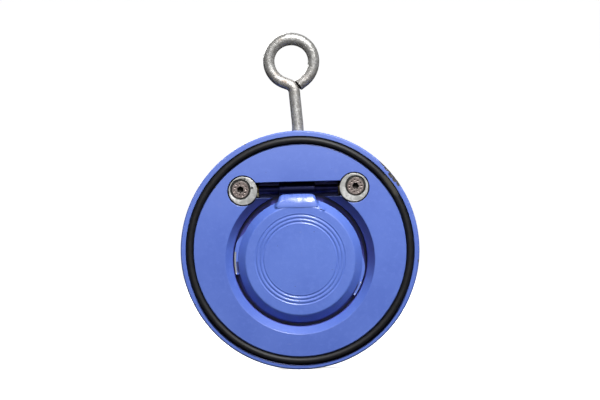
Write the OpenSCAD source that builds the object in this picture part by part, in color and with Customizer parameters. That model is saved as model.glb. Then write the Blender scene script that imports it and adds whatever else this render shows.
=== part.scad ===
// Thin wafer swing check valve for clamping between two DN100 PN10/16 flanges.
// Millimetres. The valve stands upright: +Z points up to the lifting eye, -Y is
// the outlet side that the flap swings out of, +Y is the inlet side. The origin
// is the centre of the ring's outer cylinder at mid-thickness.
//
// Most pieces are drawn flat, with the outlet face up: flat X is X, flat Y is the
// height Z, and flat Z points out of the outlet face (-Y). upright() stands them up.

/* [Body ring] */
// Outside diameter of the ring, which centres inside the flange bolts
body_od = 162; // [160:0.5:164]
// Thickness of the ring between the flanges
body_t = 18; // [18:0.1:18.4]
// Chamfer on the ring's two outer edges
body_chamfer = 0.8; // [0.3:0.1:1.2]
// Height of the recess's centre, below the ring's centre
recess_y = -6.3; // [-6.5:0.1:-6.1]
// Radius of the recess that the flap lies in
recess_r = 45.8; // [45.7:0.1:46.2]
// Depth of the 45 degree chamfer around the recess
recess_chamfer = 5; // [4:0.1:5.4]
// Depth of the seat face behind the outlet face
seat_depth = 13; // [13:0.1:13.3]
// Radius of the inlet port
port_r = 35; // [33:0.1:35.4]

/* [Flange O-rings] */
// Mean radius of both flange O-rings
ring_mean_r = 74.85; // [74.5:0.05:75.1]
// Section diameter of the flange O-rings
ring_section = 5; // [4.8:0.1:5.1]
// Inside radius of the flange O-ring grooves
groove_r1 = 72.1; // [71.8:0.05:72.2]
// Outside radius of the flange O-ring grooves
groove_r2 = 77.6; // [77.5:0.05:77.9]
// Depth of the flange O-ring grooves
groove_depth = 4; // [3.9:0.05:4.1]

/* [Hinge] */
// Height of the hinge axis above the ring's centre
hinge_y = 41.2; // [41.1:0.05:41.3]
// Height of the hinge slot
slot_h = 10.4; // [10.4:0.05:10.8]
// Length of the hinge slot
slot_l = 67; // [66.6:0.1:67.4]
// Depth of the hinge slot from the outlet face
slot_depth = 14.2; // [14.1:0.05:14.5]
// Diameter of the hinge pin
pin_d = 6; // [5.5:0.1:6.4]
// Length of the hinge pin
pin_l = 65.6; // [65:0.1:66]
// Outside diameter of the knuckle on the flap's lug
knuckle_d = 9.6; // [9.2:0.1:9.6]
// Radial running clearance of the pin in its bushes
bush_clearance = 0.05; // [0.03:0.01:0.08]
// Outside diameter of a pin bush
bush_d = 9.9; // [9.6:0.1:9.9]
// Length of a pin bush
bush_l = 6.2; // [5:0.1:6.4]

/* [Retainers] */
// Distance of each retaining disc's centre from the middle plane
disc_x = 37.75; // [37.6:0.05:37.9]
// Height of the retaining discs' centres
disc_y = 41.5; // [41.3:0.1:41.7]
// How much lower the left disc and its counterbore sit
disc_drop = 0.5; // [0:0.1:0.6]
// Diameter of a retaining disc
disc_d = 19.5; // [19:0.1:19.6]
// Thickness of a retaining disc
disc_t = 3.4; // [3.3:0.05:3.5]
// Diameter of the counterbores for the retaining discs
cbore_d = 20.5; // [20.4:0.1:20.8]
// Depth of the counterbores
cbore_depth = 4; // [3.9:0.05:4]
// Diameter of the countersunk screw heads
head_d = 11.9; // [11.6:0.1:11.9]
// Thread diameter of the retaining screws
screw_d = 6; // [5.8:0.05:6.05]
// Width across flats of the screws' hexagon sockets
socket_af = 4; // [3.8:0.1:4.2]

/* [Flap] */
// Height of the flap's centre
flap_y = -7; // [-7.2:0.1:-6.8]
// Radius of the flap's rim
flap_r = 42.3; // [42:0.1:42.4]
// Radius of the flap's flat outlet face
flap_face_r = 37.2; // [36.5:0.1:38]
// How far the flap's face lies below the outlet face
flap_below = 1.5; // [1.4:0.05:1.6]
// Thickness of the flap
flap_t = 11; // [10.9:0.05:11]
// Width of the hinge lug
lug_w = 25.8; // [25:0.1:26]
// Height of the top of the lug's rounded nose
lug_top = 38.5; // [38.2:0.1:38.6]
// Radius of the lug's nose, seen from the side
nose_r = 12; // [11.5:0.1:12.5]
// Radius of the three rings turned in the flap's face, outermost first
ring_radii = [30.2, 27.7, 25.3]; // [20:0.1:33]
// Mean radius of the seat O-ring
seat_ring_r = 38.4; // [38.2:0.05:38.6]
// Section diameter of the seat O-ring
seat_ring_section = 4; // [3.9:0.05:4.05]

/* [Lifting eye] */
// Diameter of the eye's bar
bar_d = 8; // [7.6:0.1:8]
// Mean radius of the eye's ring
eye_r = 15.3; // [15:0.1:15.6]
// Depth of the eye's thread in the ring
eye_thread = 18; // [14:0.5:18]

/* [Hidden] */

$fn = 96;
eps = 1;                              // how far a cutter runs past a face
front = body_t / 2;                   // flat Z of the outlet face
back = -body_t / 2;                   // flat Z of the inlet face
seat_z = front - seat_depth;          // flat Z of the seat face
cbore_z = front - cbore_depth;        // floor of the counterbores
disc_top = cbore_z + disc_t;          // outer face of the retaining discs
// Height of a retaining disc's centre on one side
function disc_h(side) = disc_y - (side < 0 ? disc_drop : 0);
ring_z = front - groove_depth + ring_section / 2 + 0.03;
flap_front = front - flap_below;      // flat Z of the flap's face
flap_back = flap_front - flap_t;      // flat Z of the flap's back
flank_z = flap_front - 5.5;           // flat Z where the conical flank meets the rim
seat_groove_z = flap_back + 3.65;     // deep end of the seat O-ring's groove
lug_x = -0.6;                         // the lug sits a little off the middle
screw_off_l = [-1.65, 0.35];          // screw axes, measured from (disc_x, disc_y)
screw_off_r = [1.0, 0.9];
paint = [0.33, 0.42, 0.78];
flap_paint = [0.34, 0.43, 0.80];
steel = [0.72, 0.72, 0.70];
screw_steel = [0.55, 0.52, 0.50];
dark_pin = [0.25, 0.27, 0.36];
bronze = [0.60, 0.48, 0.28];
rubber = [0.07, 0.07, 0.08];

// Stands a flat piece up: flat Y becomes Z, and flat Z becomes -Y.
module upright() { rotate([90, 0, 0]) children(); }

// A cylinder along flat X, between x1 and x2, on the hinge axis.
module along_hinge(r, x1, x2) {
    translate([x1, hinge_y, 0]) rotate([0, 90, 0]) cylinder(r = r, h = x2 - x1);
}

// Points on an arc about c, from angle a1 to a2 in n steps.
function arc(c, r, a1, a2, n) =
    [for (i = [0:n]) let (a = a1 + (a2 - a1) * i / n) [c[0] + r * cos(a), c[1] + r * sin(a)]];

// Saw-tooth side of a screw thread as rings, going down from height z1.
function teeth(r, z1, pitch, n) =
    [for (i = [0:n - 1]) each [[r, z1 - pitch * i], [r, z1 - pitch * (i + 0.15)],
                               [r - 0.54 * pitch, z1 - pitch * (i + 0.5)],
                               [r - 0.54 * pitch, z1 - pitch * (i + 0.65)]]];

// ------------------------------------------------------------------ body ring

module body_blank() {
    r = body_od / 2;
    c = body_chamfer;
    rotate_extrude($fn = 180)
        polygon([[0, back], [r - c, back], [r, back + c], [r, front - c], [r - c, front], [0, front]]);
}

// The stepped hole that the flap lies in: port, seat face, bore and chamfer.
module recess_cut() {
    translate([0, recess_y, 0]) rotate_extrude($fn = 180)
        polygon([[0, back - eps], [port_r, back - eps], [port_r, seat_z], [recess_r, seat_z],
                 [recess_r, front - recess_chamfer], [recess_r + recess_chamfer, front],
                 [recess_r + recess_chamfer + eps, front + eps], [0, front + eps]]);
}

module flange_groove_cut(z1, z2) {
    rotate_extrude($fn = 180)
        polygon([[groove_r1, z1], [groove_r2, z1], [groove_r2, z2], [groove_r1, z2]]);
}

module slot_cut() {
    translate([-slot_l / 2, hinge_y - slot_h / 2, front - slot_depth])
        cube([slot_l, slot_h, slot_depth + eps]);
}

// Counterbore for one retaining disc, and its tapped hole with a drilled end.
module retainer_cut(side, off) {
    translate([side * disc_x, disc_h(side), cbore_z]) cylinder(d = cbore_d, h = cbore_depth + eps);
    translate([side * disc_x + off[0], disc_y + off[1], 0]) {
        translate([0, 0, -4.8]) cylinder(r = screw_d / 2, h = cbore_z + 4.8 + eps);
        // countersunk mouth, clear of the screw head's cone
        translate([0, 0, cbore_z - 0.4]) cylinder(r1 = screw_d / 2, r2 = screw_d / 2 + 0.5, h = 0.5);
        translate([0, 0, -6.4]) cylinder(r1 = 0.2, r2 = screw_d / 2, h = 1.62);
    }
}

// Radial tapped hole for the lifting eye, from the top of the ring.
module eye_hole_cut() {
    bottom = body_od / 2 - eye_thread - 1;
    translate([eye_x, bottom, 0]) rotate([-90, 0, 0]) {
        cylinder(d = bar_d + 0.1, h = eye_thread + 1 + eps);
        translate([0, 0, -2.2]) cylinder(r1 = 0.3, r2 = bar_d / 2 + 0.05, h = 2.25);
    }
}

module body_ring() {
    color(paint) upright() difference() {
        body_blank();
        recess_cut();
        flange_groove_cut(front - groove_depth, front + eps);
        flange_groove_cut(back - eps, back + groove_depth);
        slot_cut();
        retainer_cut(-1, screw_off_l);
        retainer_cut(1, screw_off_r);
        eye_hole_cut();
    }
}

// ----------------------------------------------------------------------- flap

// Turned disc with a conical flank and a straight rim.
module flap_disc() {
    translate([0, flap_y, 0]) rotate_extrude($fn = 180)
        polygon([[0, flap_back], [flap_r - 0.6, flap_back], [flap_r, flap_back + 0.6],
                 [flap_r, flank_z], [flap_face_r + 0.35, flap_front - 0.3],
                 [flap_face_r, flap_front], [0, flap_front]]);
}

// Groove for the seat O-ring in the back, which also runs across the lug's root.
module seat_groove_cut() {
    g1 = seat_ring_r - seat_ring_section / 2 - 0.2;
    g2 = seat_ring_r + seat_ring_section / 2 + 0.2;
    translate([0, flap_y, 0]) rotate_extrude($fn = 180)
        polygon([[g1, flap_back - eps], [g2, flap_back - eps], [g2, seat_groove_z], [g1, seat_groove_z]]);
}

// One shallow rounded ring groove in the face.
module face_ring_cut(r) {
    translate([0, flap_y + 0.7, flap_front + 0.95]) rotate_extrude($fn = 180)
        translate([r, 0]) circle(r = 1.3, $fn = 32);
}

// Side view of the hinge lug, as [height, depth] points: straight back, and a nose
// that curves away from the face to the knuckle.
nose_c = [29.5, flap_front - nose_r];
nose_end = acos((lug_top - nose_c[0]) / nose_r);
function lug_side() = concat(
    [[flap_y + 20, flap_back], [flap_y + flap_r - 1, flap_back], [hinge_y, -4.1], [hinge_y, 1.6]],
    arc(nose_c, nose_r, nose_end, 90, 18),
    [[flap_y + 20, flap_front]]);

// Front view of the lug: straight sides that flare out towards the base,
// with rounded top corners.
function lug_front() = concat(
    [[-lug_w / 2 - 2.3, flap_y + 34], [lug_w / 2 + 2.3, flap_y + 34], [lug_w / 2 + 2.1, flap_y + 37],
     [lug_w / 2 + 0.7, flap_y + 40.5]],
    arc([lug_w / 2 - 2, lug_top - 2], 2, 0, 90, 8),
    arc([-lug_w / 2 + 2, lug_top - 2], 2, 90, 180, 8),
    [[-lug_w / 2 - 0.7, flap_y + 40.5], [-lug_w / 2 - 2.1, flap_y + 37]]);

module lug() {
    // the boss that can be seen from the front
    intersection() {
        translate([lug_x, 0, 0]) translate([-20, 0, 0]) rotate([90, 0, 90])
            linear_extrude(height = 40) polygon(lug_side());
        translate([lug_x, 0, flap_back]) linear_extrude(height = flap_t + eps) polygon(lug_front());
    }
    // the arm that reaches back to the knuckle
    translate([lug_x - lug_w / 2 + 0.4, 0, 0]) rotate([90, 0, 90])
        linear_extrude(height = lug_w - 0.8)
            polygon([[flap_y + 30, flap_back], [flap_y + flap_r - 1, flap_back],
                     [hinge_y, -4.1], [hinge_y, 3.0], [lug_top - 1, 3.6], [flap_y + 30, 3.6]]);
    along_hinge(knuckle_d / 2, lug_x - lug_w / 2 + 0.4, lug_x + lug_w / 2 - 0.4);
}

// A low pad on the rim that keeps the flap central in its bore: full height
// between a1 and a2, running out gently towards a3.
module rim_pad(r, a1, a2, a3) {
    translate([0, flap_y, flap_back + 0.8]) linear_extrude(height = 3.9)
        polygon(concat(
            arc([0, 0], r, a1, a2, 12),
            [for (i = [1:6]) let (t = i / 6, a = a2 + (a3 - a2) * t, q = r + (flap_r - 0.3 - r) * t)
                [q * cos(a), q * sin(a)]],
            arc([0, 0], flap_r - 3, a3, a1, 12)));
}

module flap() {
    color(flap_paint) upright() difference() {
        union() {
            flap_disc();
            lug();
            rim_pad(45.1, 191.5, 164, 151);
            rim_pad(44.9, -34.5, -9.5, 6);
        }
        for (r = ring_radii) face_ring_cut(r);
        seat_groove_cut();
        along_hinge(pin_d / 2, -30, 30);
    }
}

// ---------------------------------------------------------------------- hinge

module hinge_pin() {
    r = pin_d / 2;
    h = pin_l / 2;
    color(dark_pin) upright() translate([0, hinge_y, 0]) rotate([0, 90, 0]) rotate_extrude()
        polygon([[0, -h], [r - 0.5, -h], [r, -h + 0.5], [r, h - 0.5], [r - 0.5, h], [0, h]]);
}

// Plain bearing in the end of the slot, held in by the retaining disc.
module pin_bush(side) {
    x0 = slot_l / 2 - 0.4 - bush_l;
    r1 = pin_d / 2 + bush_clearance;
    r2 = bush_d / 2;
    color(bronze) upright() translate([side * (x0 + bush_l / 2), hinge_y, 0]) rotate([0, 90, 0])
        rotate_extrude()
            polygon([[r1, -bush_l / 2], [r2 - 0.3, -bush_l / 2], [r2, -bush_l / 2 + 0.3],
                     [r2, bush_l / 2 - 0.3], [r2 - 0.3, bush_l / 2], [r1, bush_l / 2]]);
}

module pin_bush_left() { pin_bush(-1); }
module pin_bush_right() { pin_bush(1); }

// -------------------------------------------------------------------- O-rings

module seat_o_ring() {
    color(rubber) upright() translate([0, flap_y, seat_groove_z - seat_ring_section / 2 - 0.03])
        rotate_extrude($fn = 180) translate([seat_ring_r, 0])
            circle(d = seat_ring_section, $fn = 32);
}

module flange_o_ring(z) {
    color(rubber) upright() translate([0, 0, z]) rotate_extrude($fn = 180)
        translate([ring_mean_r, 0]) circle(d = ring_section, $fn = 32);
}

module outlet_o_ring() { flange_o_ring(ring_z); }
module inlet_o_ring() { flange_o_ring(-ring_z); }

// ------------------------------------------------------------------ retainers

// Round disc with a countersunk hole off its centre. It laps over the slot's end.
module retainer_disc(side, off) {
    c = head_d / 2 + 0.6;
    lift = disc_y - disc_h(side);
    color(steel) upright() translate([side * disc_x, disc_h(side), cbore_z]) difference() {
        rotate_extrude()
            polygon([[0, 0], [disc_d / 2 - 0.2, 0], [disc_d / 2, 0.2], [disc_d / 2, disc_t - 0.3],
                     [disc_d / 2 - 0.3, disc_t], [0, disc_t]]);
        translate([off[0], off[1] + lift, 0]) rotate_extrude()
            polygon([[0, -eps], [screw_d / 2 + 0.15, -eps], [screw_d / 2 + 0.15, disc_t - c + screw_d / 2 + 0.15],
                     [c, disc_t], [c + eps, disc_t + eps], [0, disc_t + eps]]);
    }
}

module retainer_disc_left() { retainer_disc(-1, screw_off_l); }
module retainer_disc_right() { retainer_disc(1, screw_off_r); }

// Countersunk hexagon socket screw: flat head with a narrow land, 45 degree cone,
// ring-grooved thread.
module retainer_screw(side, off, turn) {
    hr = head_d / 2;
    tr = screw_d / 2 - 0.06;
    top = disc_top - 0.3;
    neck = top - 0.25 - (hr - tr);
    color(screw_steel) upright()
        translate([side * disc_x + off[0], disc_y + off[1], 0]) difference() {
            rotate_extrude()
                polygon(concat([[0, top], [hr - 0.15, top], [hr, top - 0.15], [hr, top - 0.25]],
                               teeth(tr, neck, 1, 8),
                               [[tr - 0.5, neck - 8.2], [0, neck - 8.2]]));
            translate([0, 0, top - 2.4]) rotate([0, 0, turn])
                cylinder(d = socket_af / cos(30), h = 2.4 + eps, $fn = 6);
            translate([0, 0, top - 3.0]) cylinder(r1 = 0.2, r2 = socket_af / 2 - 0.2, h = 0.7);
        }
}

module retainer_screw_left() { retainer_screw(-1, screw_off_l, 29); }
module retainer_screw_right() { retainer_screw(1, screw_off_r, -1); }

// ---------------------------------------------------------------- lifting eye

// The bar runs up out of the ring, leans a little, bends left and then clockwise
// around the eye. Each step carries on from the last one's end and direction.
eye_x = 0.6;
eye_lean = 4.4;      // lean of the stem
stem_y = 83;         // where the lean starts
lean_r = 60;
bend_r = 6;          // radius of the bend under the ring
bend_to = 158;       // direction after that bend
eye_c = [-2.7, 128.95];

// The point after an arc to the left (s = 1) or right (s = -1) of radius r,
// from point p, turning the direction from h1 to h2.
function after(p, r, s, h1, h2) =
    [p[0] + s * r * (sin(h2) - sin(h1)), p[1] - s * r * (cos(h2) - cos(h1))];
function along(p, d, h) = [p[0] + d * cos(h), p[1] + d * sin(h)];

h0 = 90;
h1 = h0 + eye_lean;
p0 = [eye_x, stem_y];
p1 = after(p0, lean_r, 1, h0, h1);
left_r = eye_r + 0.6;
// start of the ring's lower left arc, whose left end is the ring's left side
left_c = [eye_c[0] - eye_r + left_r, eye_c[1]];
p4 = [left_c[0] + left_r * cos(bend_to + 90), left_c[1] + left_r * sin(bend_to + 90)];
// straight run before it, chosen so that the bend starts on the leaning stem
bend_d = after([0, 0], bend_r, 1, h1, bend_to);
u = [cos(bend_to), sin(bend_to)];
w = [cos(h1), sin(h1)];
// p1 + s * w + bend_d + q * u = p4, solved for s and q
gap = [p4[0] - p1[0] - bend_d[0], p4[1] - p1[1] - bend_d[1]];
det = w[0] * u[1] - w[1] * u[0];
stem_s = (gap[0] * u[1] - gap[1] * u[0]) / det;
run_q = (w[0] * gap[1] - w[1] * gap[0]) / det;
p2 = along(p1, stem_s, h1);
p3 = after(p2, bend_r, 1, h1, bend_to);
tail_r = eye_r + 2.2;
tail_c = [eye_c[0] + eye_r - tail_r, eye_c[1]];
tail_a = -54;
p7 = [tail_c[0] + tail_r * cos(tail_a), tail_c[1] + tail_r * sin(tail_a)];
tail_l = 4.4;

// Round bar from p along direction h. Bars and bends stop a hair short of their
// ends, and a knot, 0.03 mm proud, closes each joint.
short = 0.1;
module bar(p, h, l) {
    translate([p[0], p[1], 0]) rotate([0, 0, h]) translate([short, 0, 0]) rotate([0, 90, 0])
        cylinder(d = bar_d, h = l - short, $fn = 48);
}

// Bent bar about centre c from angle a1, through turn degrees, with knots at both ends.
module bend(c, r, a1, turn) {
    cut = short / r * 180 / PI;
    translate([c[0], c[1], 0]) {
        rotate([0, 0, a1 + cut]) rotate_extrude(angle = turn - 2 * cut, $fn = 144)
            translate([r, 0]) circle(d = bar_d, $fn = 48);
        for (a = [a1, a1 + turn]) rotate([0, 0, a]) translate([r, 0, 0])
            sphere(d = bar_d + 0.06, $fn = 48);
    }
}

// The bent bar, from the stem's lean to the cut end.
module eye_bar() {
    bend([p0[0] - lean_r, p0[1]], lean_r, 0, eye_lean);
    bar(p1, h1, stem_s - short);
    bend([p2[0] - bend_r * sin(h1), p2[1] + bend_r * cos(h1)], bend_r, h1 - 90, bend_to - h1);
    bar(p3, bend_to, run_q - short);
    bend(left_c, left_r, 180, bend_to + 90 - 180);
    bend(eye_c, eye_r, 0, 180);
    bend(tail_c, tail_r, tail_a, -tail_a);
    bar(p7, tail_a - 90, tail_l);
}

module lifting_eye() {
    top = body_od / 2;
    n = floor(eye_thread / 1.25) - 1;
    color(steel) upright() union() {
        // thread in the ring, then the plain stem
        translate([eye_x, 0, 0]) rotate([-90, 0, 0]) rotate_extrude($fn = 48)
            polygon(concat([[0, stem_y - short], [bar_d / 2, stem_y - short], [bar_d / 2, top - 0.6]],
                           teeth(bar_d / 2 - 0.05, top - 1.2, 1.25, n),
                           [[bar_d / 2 - 0.9, top - 1.2 - 1.25 * n], [0, top - 1.2 - 1.25 * n]]));
        eye_bar();
    }
}

body_ring();
flap();
hinge_pin();
pin_bush_left();
pin_bush_right();
seat_o_ring();
outlet_o_ring();
inlet_o_ring();
retainer_disc_left();
retainer_disc_right();
retainer_screw_left();
retainer_screw_right();
lifting_eye();
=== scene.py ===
"""Wafer check valve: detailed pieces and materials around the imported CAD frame.

Pieces are drawn flat in millimetres, as the CAD is: flat X is X, flat Y is the
height, and flat Z points out of the outlet face. place() stands them up in metres.
"""
import math
import random

import bmesh
import bpy
from mathutils import Matrix, Vector, noise


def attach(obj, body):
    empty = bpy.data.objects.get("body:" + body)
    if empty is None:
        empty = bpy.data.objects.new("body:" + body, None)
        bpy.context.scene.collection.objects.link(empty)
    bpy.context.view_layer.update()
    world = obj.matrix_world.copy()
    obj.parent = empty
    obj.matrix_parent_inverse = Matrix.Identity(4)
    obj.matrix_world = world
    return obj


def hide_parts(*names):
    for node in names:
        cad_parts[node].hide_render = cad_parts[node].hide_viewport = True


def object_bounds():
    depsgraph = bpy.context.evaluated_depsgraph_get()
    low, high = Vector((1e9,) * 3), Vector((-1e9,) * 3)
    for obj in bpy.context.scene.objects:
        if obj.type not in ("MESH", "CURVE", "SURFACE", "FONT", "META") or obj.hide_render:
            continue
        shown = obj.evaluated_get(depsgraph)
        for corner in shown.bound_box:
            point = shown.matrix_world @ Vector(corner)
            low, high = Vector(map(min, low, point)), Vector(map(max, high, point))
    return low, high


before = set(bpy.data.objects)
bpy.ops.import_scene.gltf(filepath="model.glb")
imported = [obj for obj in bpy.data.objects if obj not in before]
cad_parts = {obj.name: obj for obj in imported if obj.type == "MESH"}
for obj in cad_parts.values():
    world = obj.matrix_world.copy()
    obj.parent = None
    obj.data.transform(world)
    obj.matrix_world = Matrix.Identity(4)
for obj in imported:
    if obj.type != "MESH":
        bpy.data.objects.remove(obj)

cad_lo, cad_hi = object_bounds()
cos, sin, pi = math.cos, math.sin, math.pi
rad, deg = math.radians, math.degrees
random.seed(7)

# ---------------------------------------------------------------- dimensions, mm
BODY_R, HALF_T = 81.0, 9.0
RECESS_Y, RECESS_R, PORT_R, SEAT_Z, CHAMFER = -6.3, 45.8, 35.0, -4.0, 5.0
GROOVE_R1, GROOVE_R2, GROOVE_D = 72.1, 77.6, 4.0
RING_R, RING_D, RING_Z = 74.85, 5.0, 7.53
RING_DROP = 0.35        # the front groove and its ring sit this much lower
HINGE_Y, SLOT_L, SLOT_H, SLOT_D = 41.2, 67.0, 10.4, 14.2
PIN_D, PIN_L, KNUCKLE_D = 6.0, 65.6, 9.6
BUSH_D, BUSH_L, BUSH_BORE = 9.9, 6.2, 3.05
DISC_D, DISC_T, CBORE_D, CBORE_Z = 19.5, 3.4, 20.5, 5.0
DISC_L, DISC_R = (-37.76, 41.0), (37.70, 41.55)
SCREW_L = (-39.4, 41.85)
SCREW_R = (38.75, 42.4)
HEAD_R, SCREW_TOP, THREAD_R, SOCKET = 5.95, 8.1, 2.94, 4.0
FLAP_Y, FLAP_R, FACE_R, FACE_Z, BACK_Z, FLANK_Z = -7.0, 42.3, 37.2, 7.5, -3.5, 2.0
LUG_X, LUG_W, LUG_TOP, NOSE_R = -0.6, 25.8, 38.5, 12.0
NOSE_C = (29.5, FACE_Z - NOSE_R)
SEAT_RING_R, SEAT_RING_D, SEAT_RING_Z = 38.4, 4.0, -1.88
BAR_R, EYE_R, EYE_X, EYE_C = 4.0, 15.3, 0.6, (-2.7, 128.95)

STAND = Matrix(((0.001, 0, 0, 0), (0, 0, -0.001, 0), (0, 0.001, 0, 0), (0, 0, 0, 1)))


# ------------------------------------------------------------------ mesh helpers
def clamp(x, a=0.0, b=1.0):
    return a if x < a else b if x > b else x


def smooth(a, b, x):
    t = clamp((x - a) / (b - a))
    return t * t * (3 - 2 * t)


def mesh_object(name, verts, faces):
    me = bpy.data.meshes.new(name)
    me.from_pydata(verts, [], faces)
    bm = bmesh.new()
    bm.from_mesh(me)
    bmesh.ops.remove_doubles(bm, verts=bm.verts, dist=1e-5)
    bmesh.ops.recalc_face_normals(bm, faces=bm.faces)
    if bm.calc_volume(signed=True) < 0:
        bmesh.ops.reverse_faces(bm, faces=bm.faces)
    bm.to_mesh(me)
    bm.free()
    o = bpy.data.objects.new(name, me)
    bpy.context.scene.collection.objects.link(o)
    return o


def rounded(pts, closed=False, steps=5):
    """A polygon's corners rounded: points are (x, y) or (x, y, radius)."""
    out, n = [], len(pts)
    for i, p in enumerate(pts):
        r = p[2] if len(p) > 2 else 0
        if r <= 0 or (not closed and i in (0, n - 1)):
            out.append((p[0], p[1]))
            continue
        a, b = pts[i - 1], pts[(i + 1) % n]
        u = Vector((a[0] - p[0], a[1] - p[1]))
        v = Vector((b[0] - p[0], b[1] - p[1]))
        lu, lv = u.length, v.length
        u.normalize()
        v.normalize()
        phi = math.acos(clamp(u.dot(v), -1, 1))
        t = min(r / math.tan(phi / 2), 0.49 * lu, 0.49 * lv)
        r = t * math.tan(phi / 2)
        c = Vector((p[0], p[1])) + (u + v).normalized() * (r / sin(phi / 2))
        s, e = Vector((p[0], p[1])) + u * t - c, Vector((p[0], p[1])) + v * t - c
        a0 = math.atan2(s.y, s.x)
        da = math.atan2(e.y, e.x) - a0
        da = (da + pi) % (2 * pi) - pi
        for k in range(steps + 1):
            q = a0 + da * k / steps
            out.append((c.x + r * cos(q), c.y + r * sin(q)))
    return out


def filled(profile, step):
    """The same profile with extra points so that no stretch is longer than step."""
    out = [profile[0]]
    for a, b in zip(profile, profile[1:]):
        n = max(1, math.ceil(math.hypot(b[0] - a[0], b[1] - a[1]) / step))
        out += [(a[0] + (b[0] - a[0]) * k / n, a[1] + (b[1] - a[1]) * k / n) for k in range(1, n + 1)]
    return out


def turned(n, offset=0.0):
    return [offset + 2 * pi * i / n for i in range(n)]


def lathe(name, profile, angles, centre=(0, 0), mod=None, closed=False):
    """A profile of (r, z) points turned about flat Z. mod moves each point."""
    verts, faces, first = [], [], []
    n = len(angles)
    for i, (r, z) in enumerate(profile):
        first.append(len(verts))
        if r < 1e-6:
            verts.append((centre[0], centre[1], z))
            continue
        for a in angles:
            p = (centre[0] + r * cos(a), centre[1] + r * sin(a), z)
            verts.append(mod(a, r, z, i, p) if mod else p)
    m = len(profile)
    for i in range(m if closed else m - 1):
        k = (i + 1) % m
        pole_i, pole_k = profile[i][0] < 1e-6, profile[k][0] < 1e-6
        for j in range(n):
            j2 = (j + 1) % n
            if pole_i and pole_k:
                continue
            if pole_i:
                faces.append((first[i], first[k] + j, first[k] + j2))
            elif pole_k:
                faces.append((first[i] + j, first[i] + j2, first[k]))
            else:
                faces.append((first[i] + j, first[i] + j2, first[k] + j2, first[k] + j))
    return mesh_object(name, verts, faces)


def loft(name, loops):
    """Closed loops of the same length joined in order, with capped ends."""
    verts = [v for loop in loops for v in loop]
    n = len(loops[0])
    faces = []
    for i in range(len(loops) - 1):
        for j in range(n):
            j2 = (j + 1) % n
            faces.append((i * n + j, i * n + j2, (i + 1) * n + j2, (i + 1) * n + j))
    faces.append(tuple(range(n)))
    faces.append(tuple((len(loops) - 1) * n + j for j in range(n)))
    return mesh_object(name, verts, faces)


def turn_to_x(o, centre):
    """Turns an object drawn about flat Z so that its axis is flat X, through centre."""
    o.data.transform(Matrix.Translation(Vector(centre)) @ Matrix.Rotation(pi / 2, 4, "Y"))
    return o


def boolean(obj, others, op="DIFFERENCE"):
    for c in others:
        m = obj.modifiers.new("cut", "BOOLEAN")
        m.object, m.operation, m.solver = c, op, "MANIFOLD"
        bpy.context.view_layer.update()
        dg = bpy.context.evaluated_depsgraph_get()
        me = bpy.data.meshes.new_from_object(obj.evaluated_get(dg))
        obj.modifiers.clear()
        old, obj.data = obj.data, me
        bpy.data.meshes.remove(old)
        bpy.data.objects.remove(c)
    return obj


def place(o, name, body, node, mat, angle=32):
    """Stands a finished flat piece up in metres, and gives it its body and material."""
    o.name = o.data.name = name
    o.data.transform(STAND)
    o.data.update()
    o.data.materials.clear()
    o.data.materials.append(mat)
    for p in o.data.polygons:
        p.use_smooth = True
        p.material_index = 0
    o.data.set_sharp_from_angle(angle=rad(angle))
    w = o.modifiers.new("normals", "WEIGHTED_NORMAL")
    w.mode, w.weight, w.keep_sharp = "FACE_AREA", 50, True
    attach(o, body)
    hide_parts(node)
    return o


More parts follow.
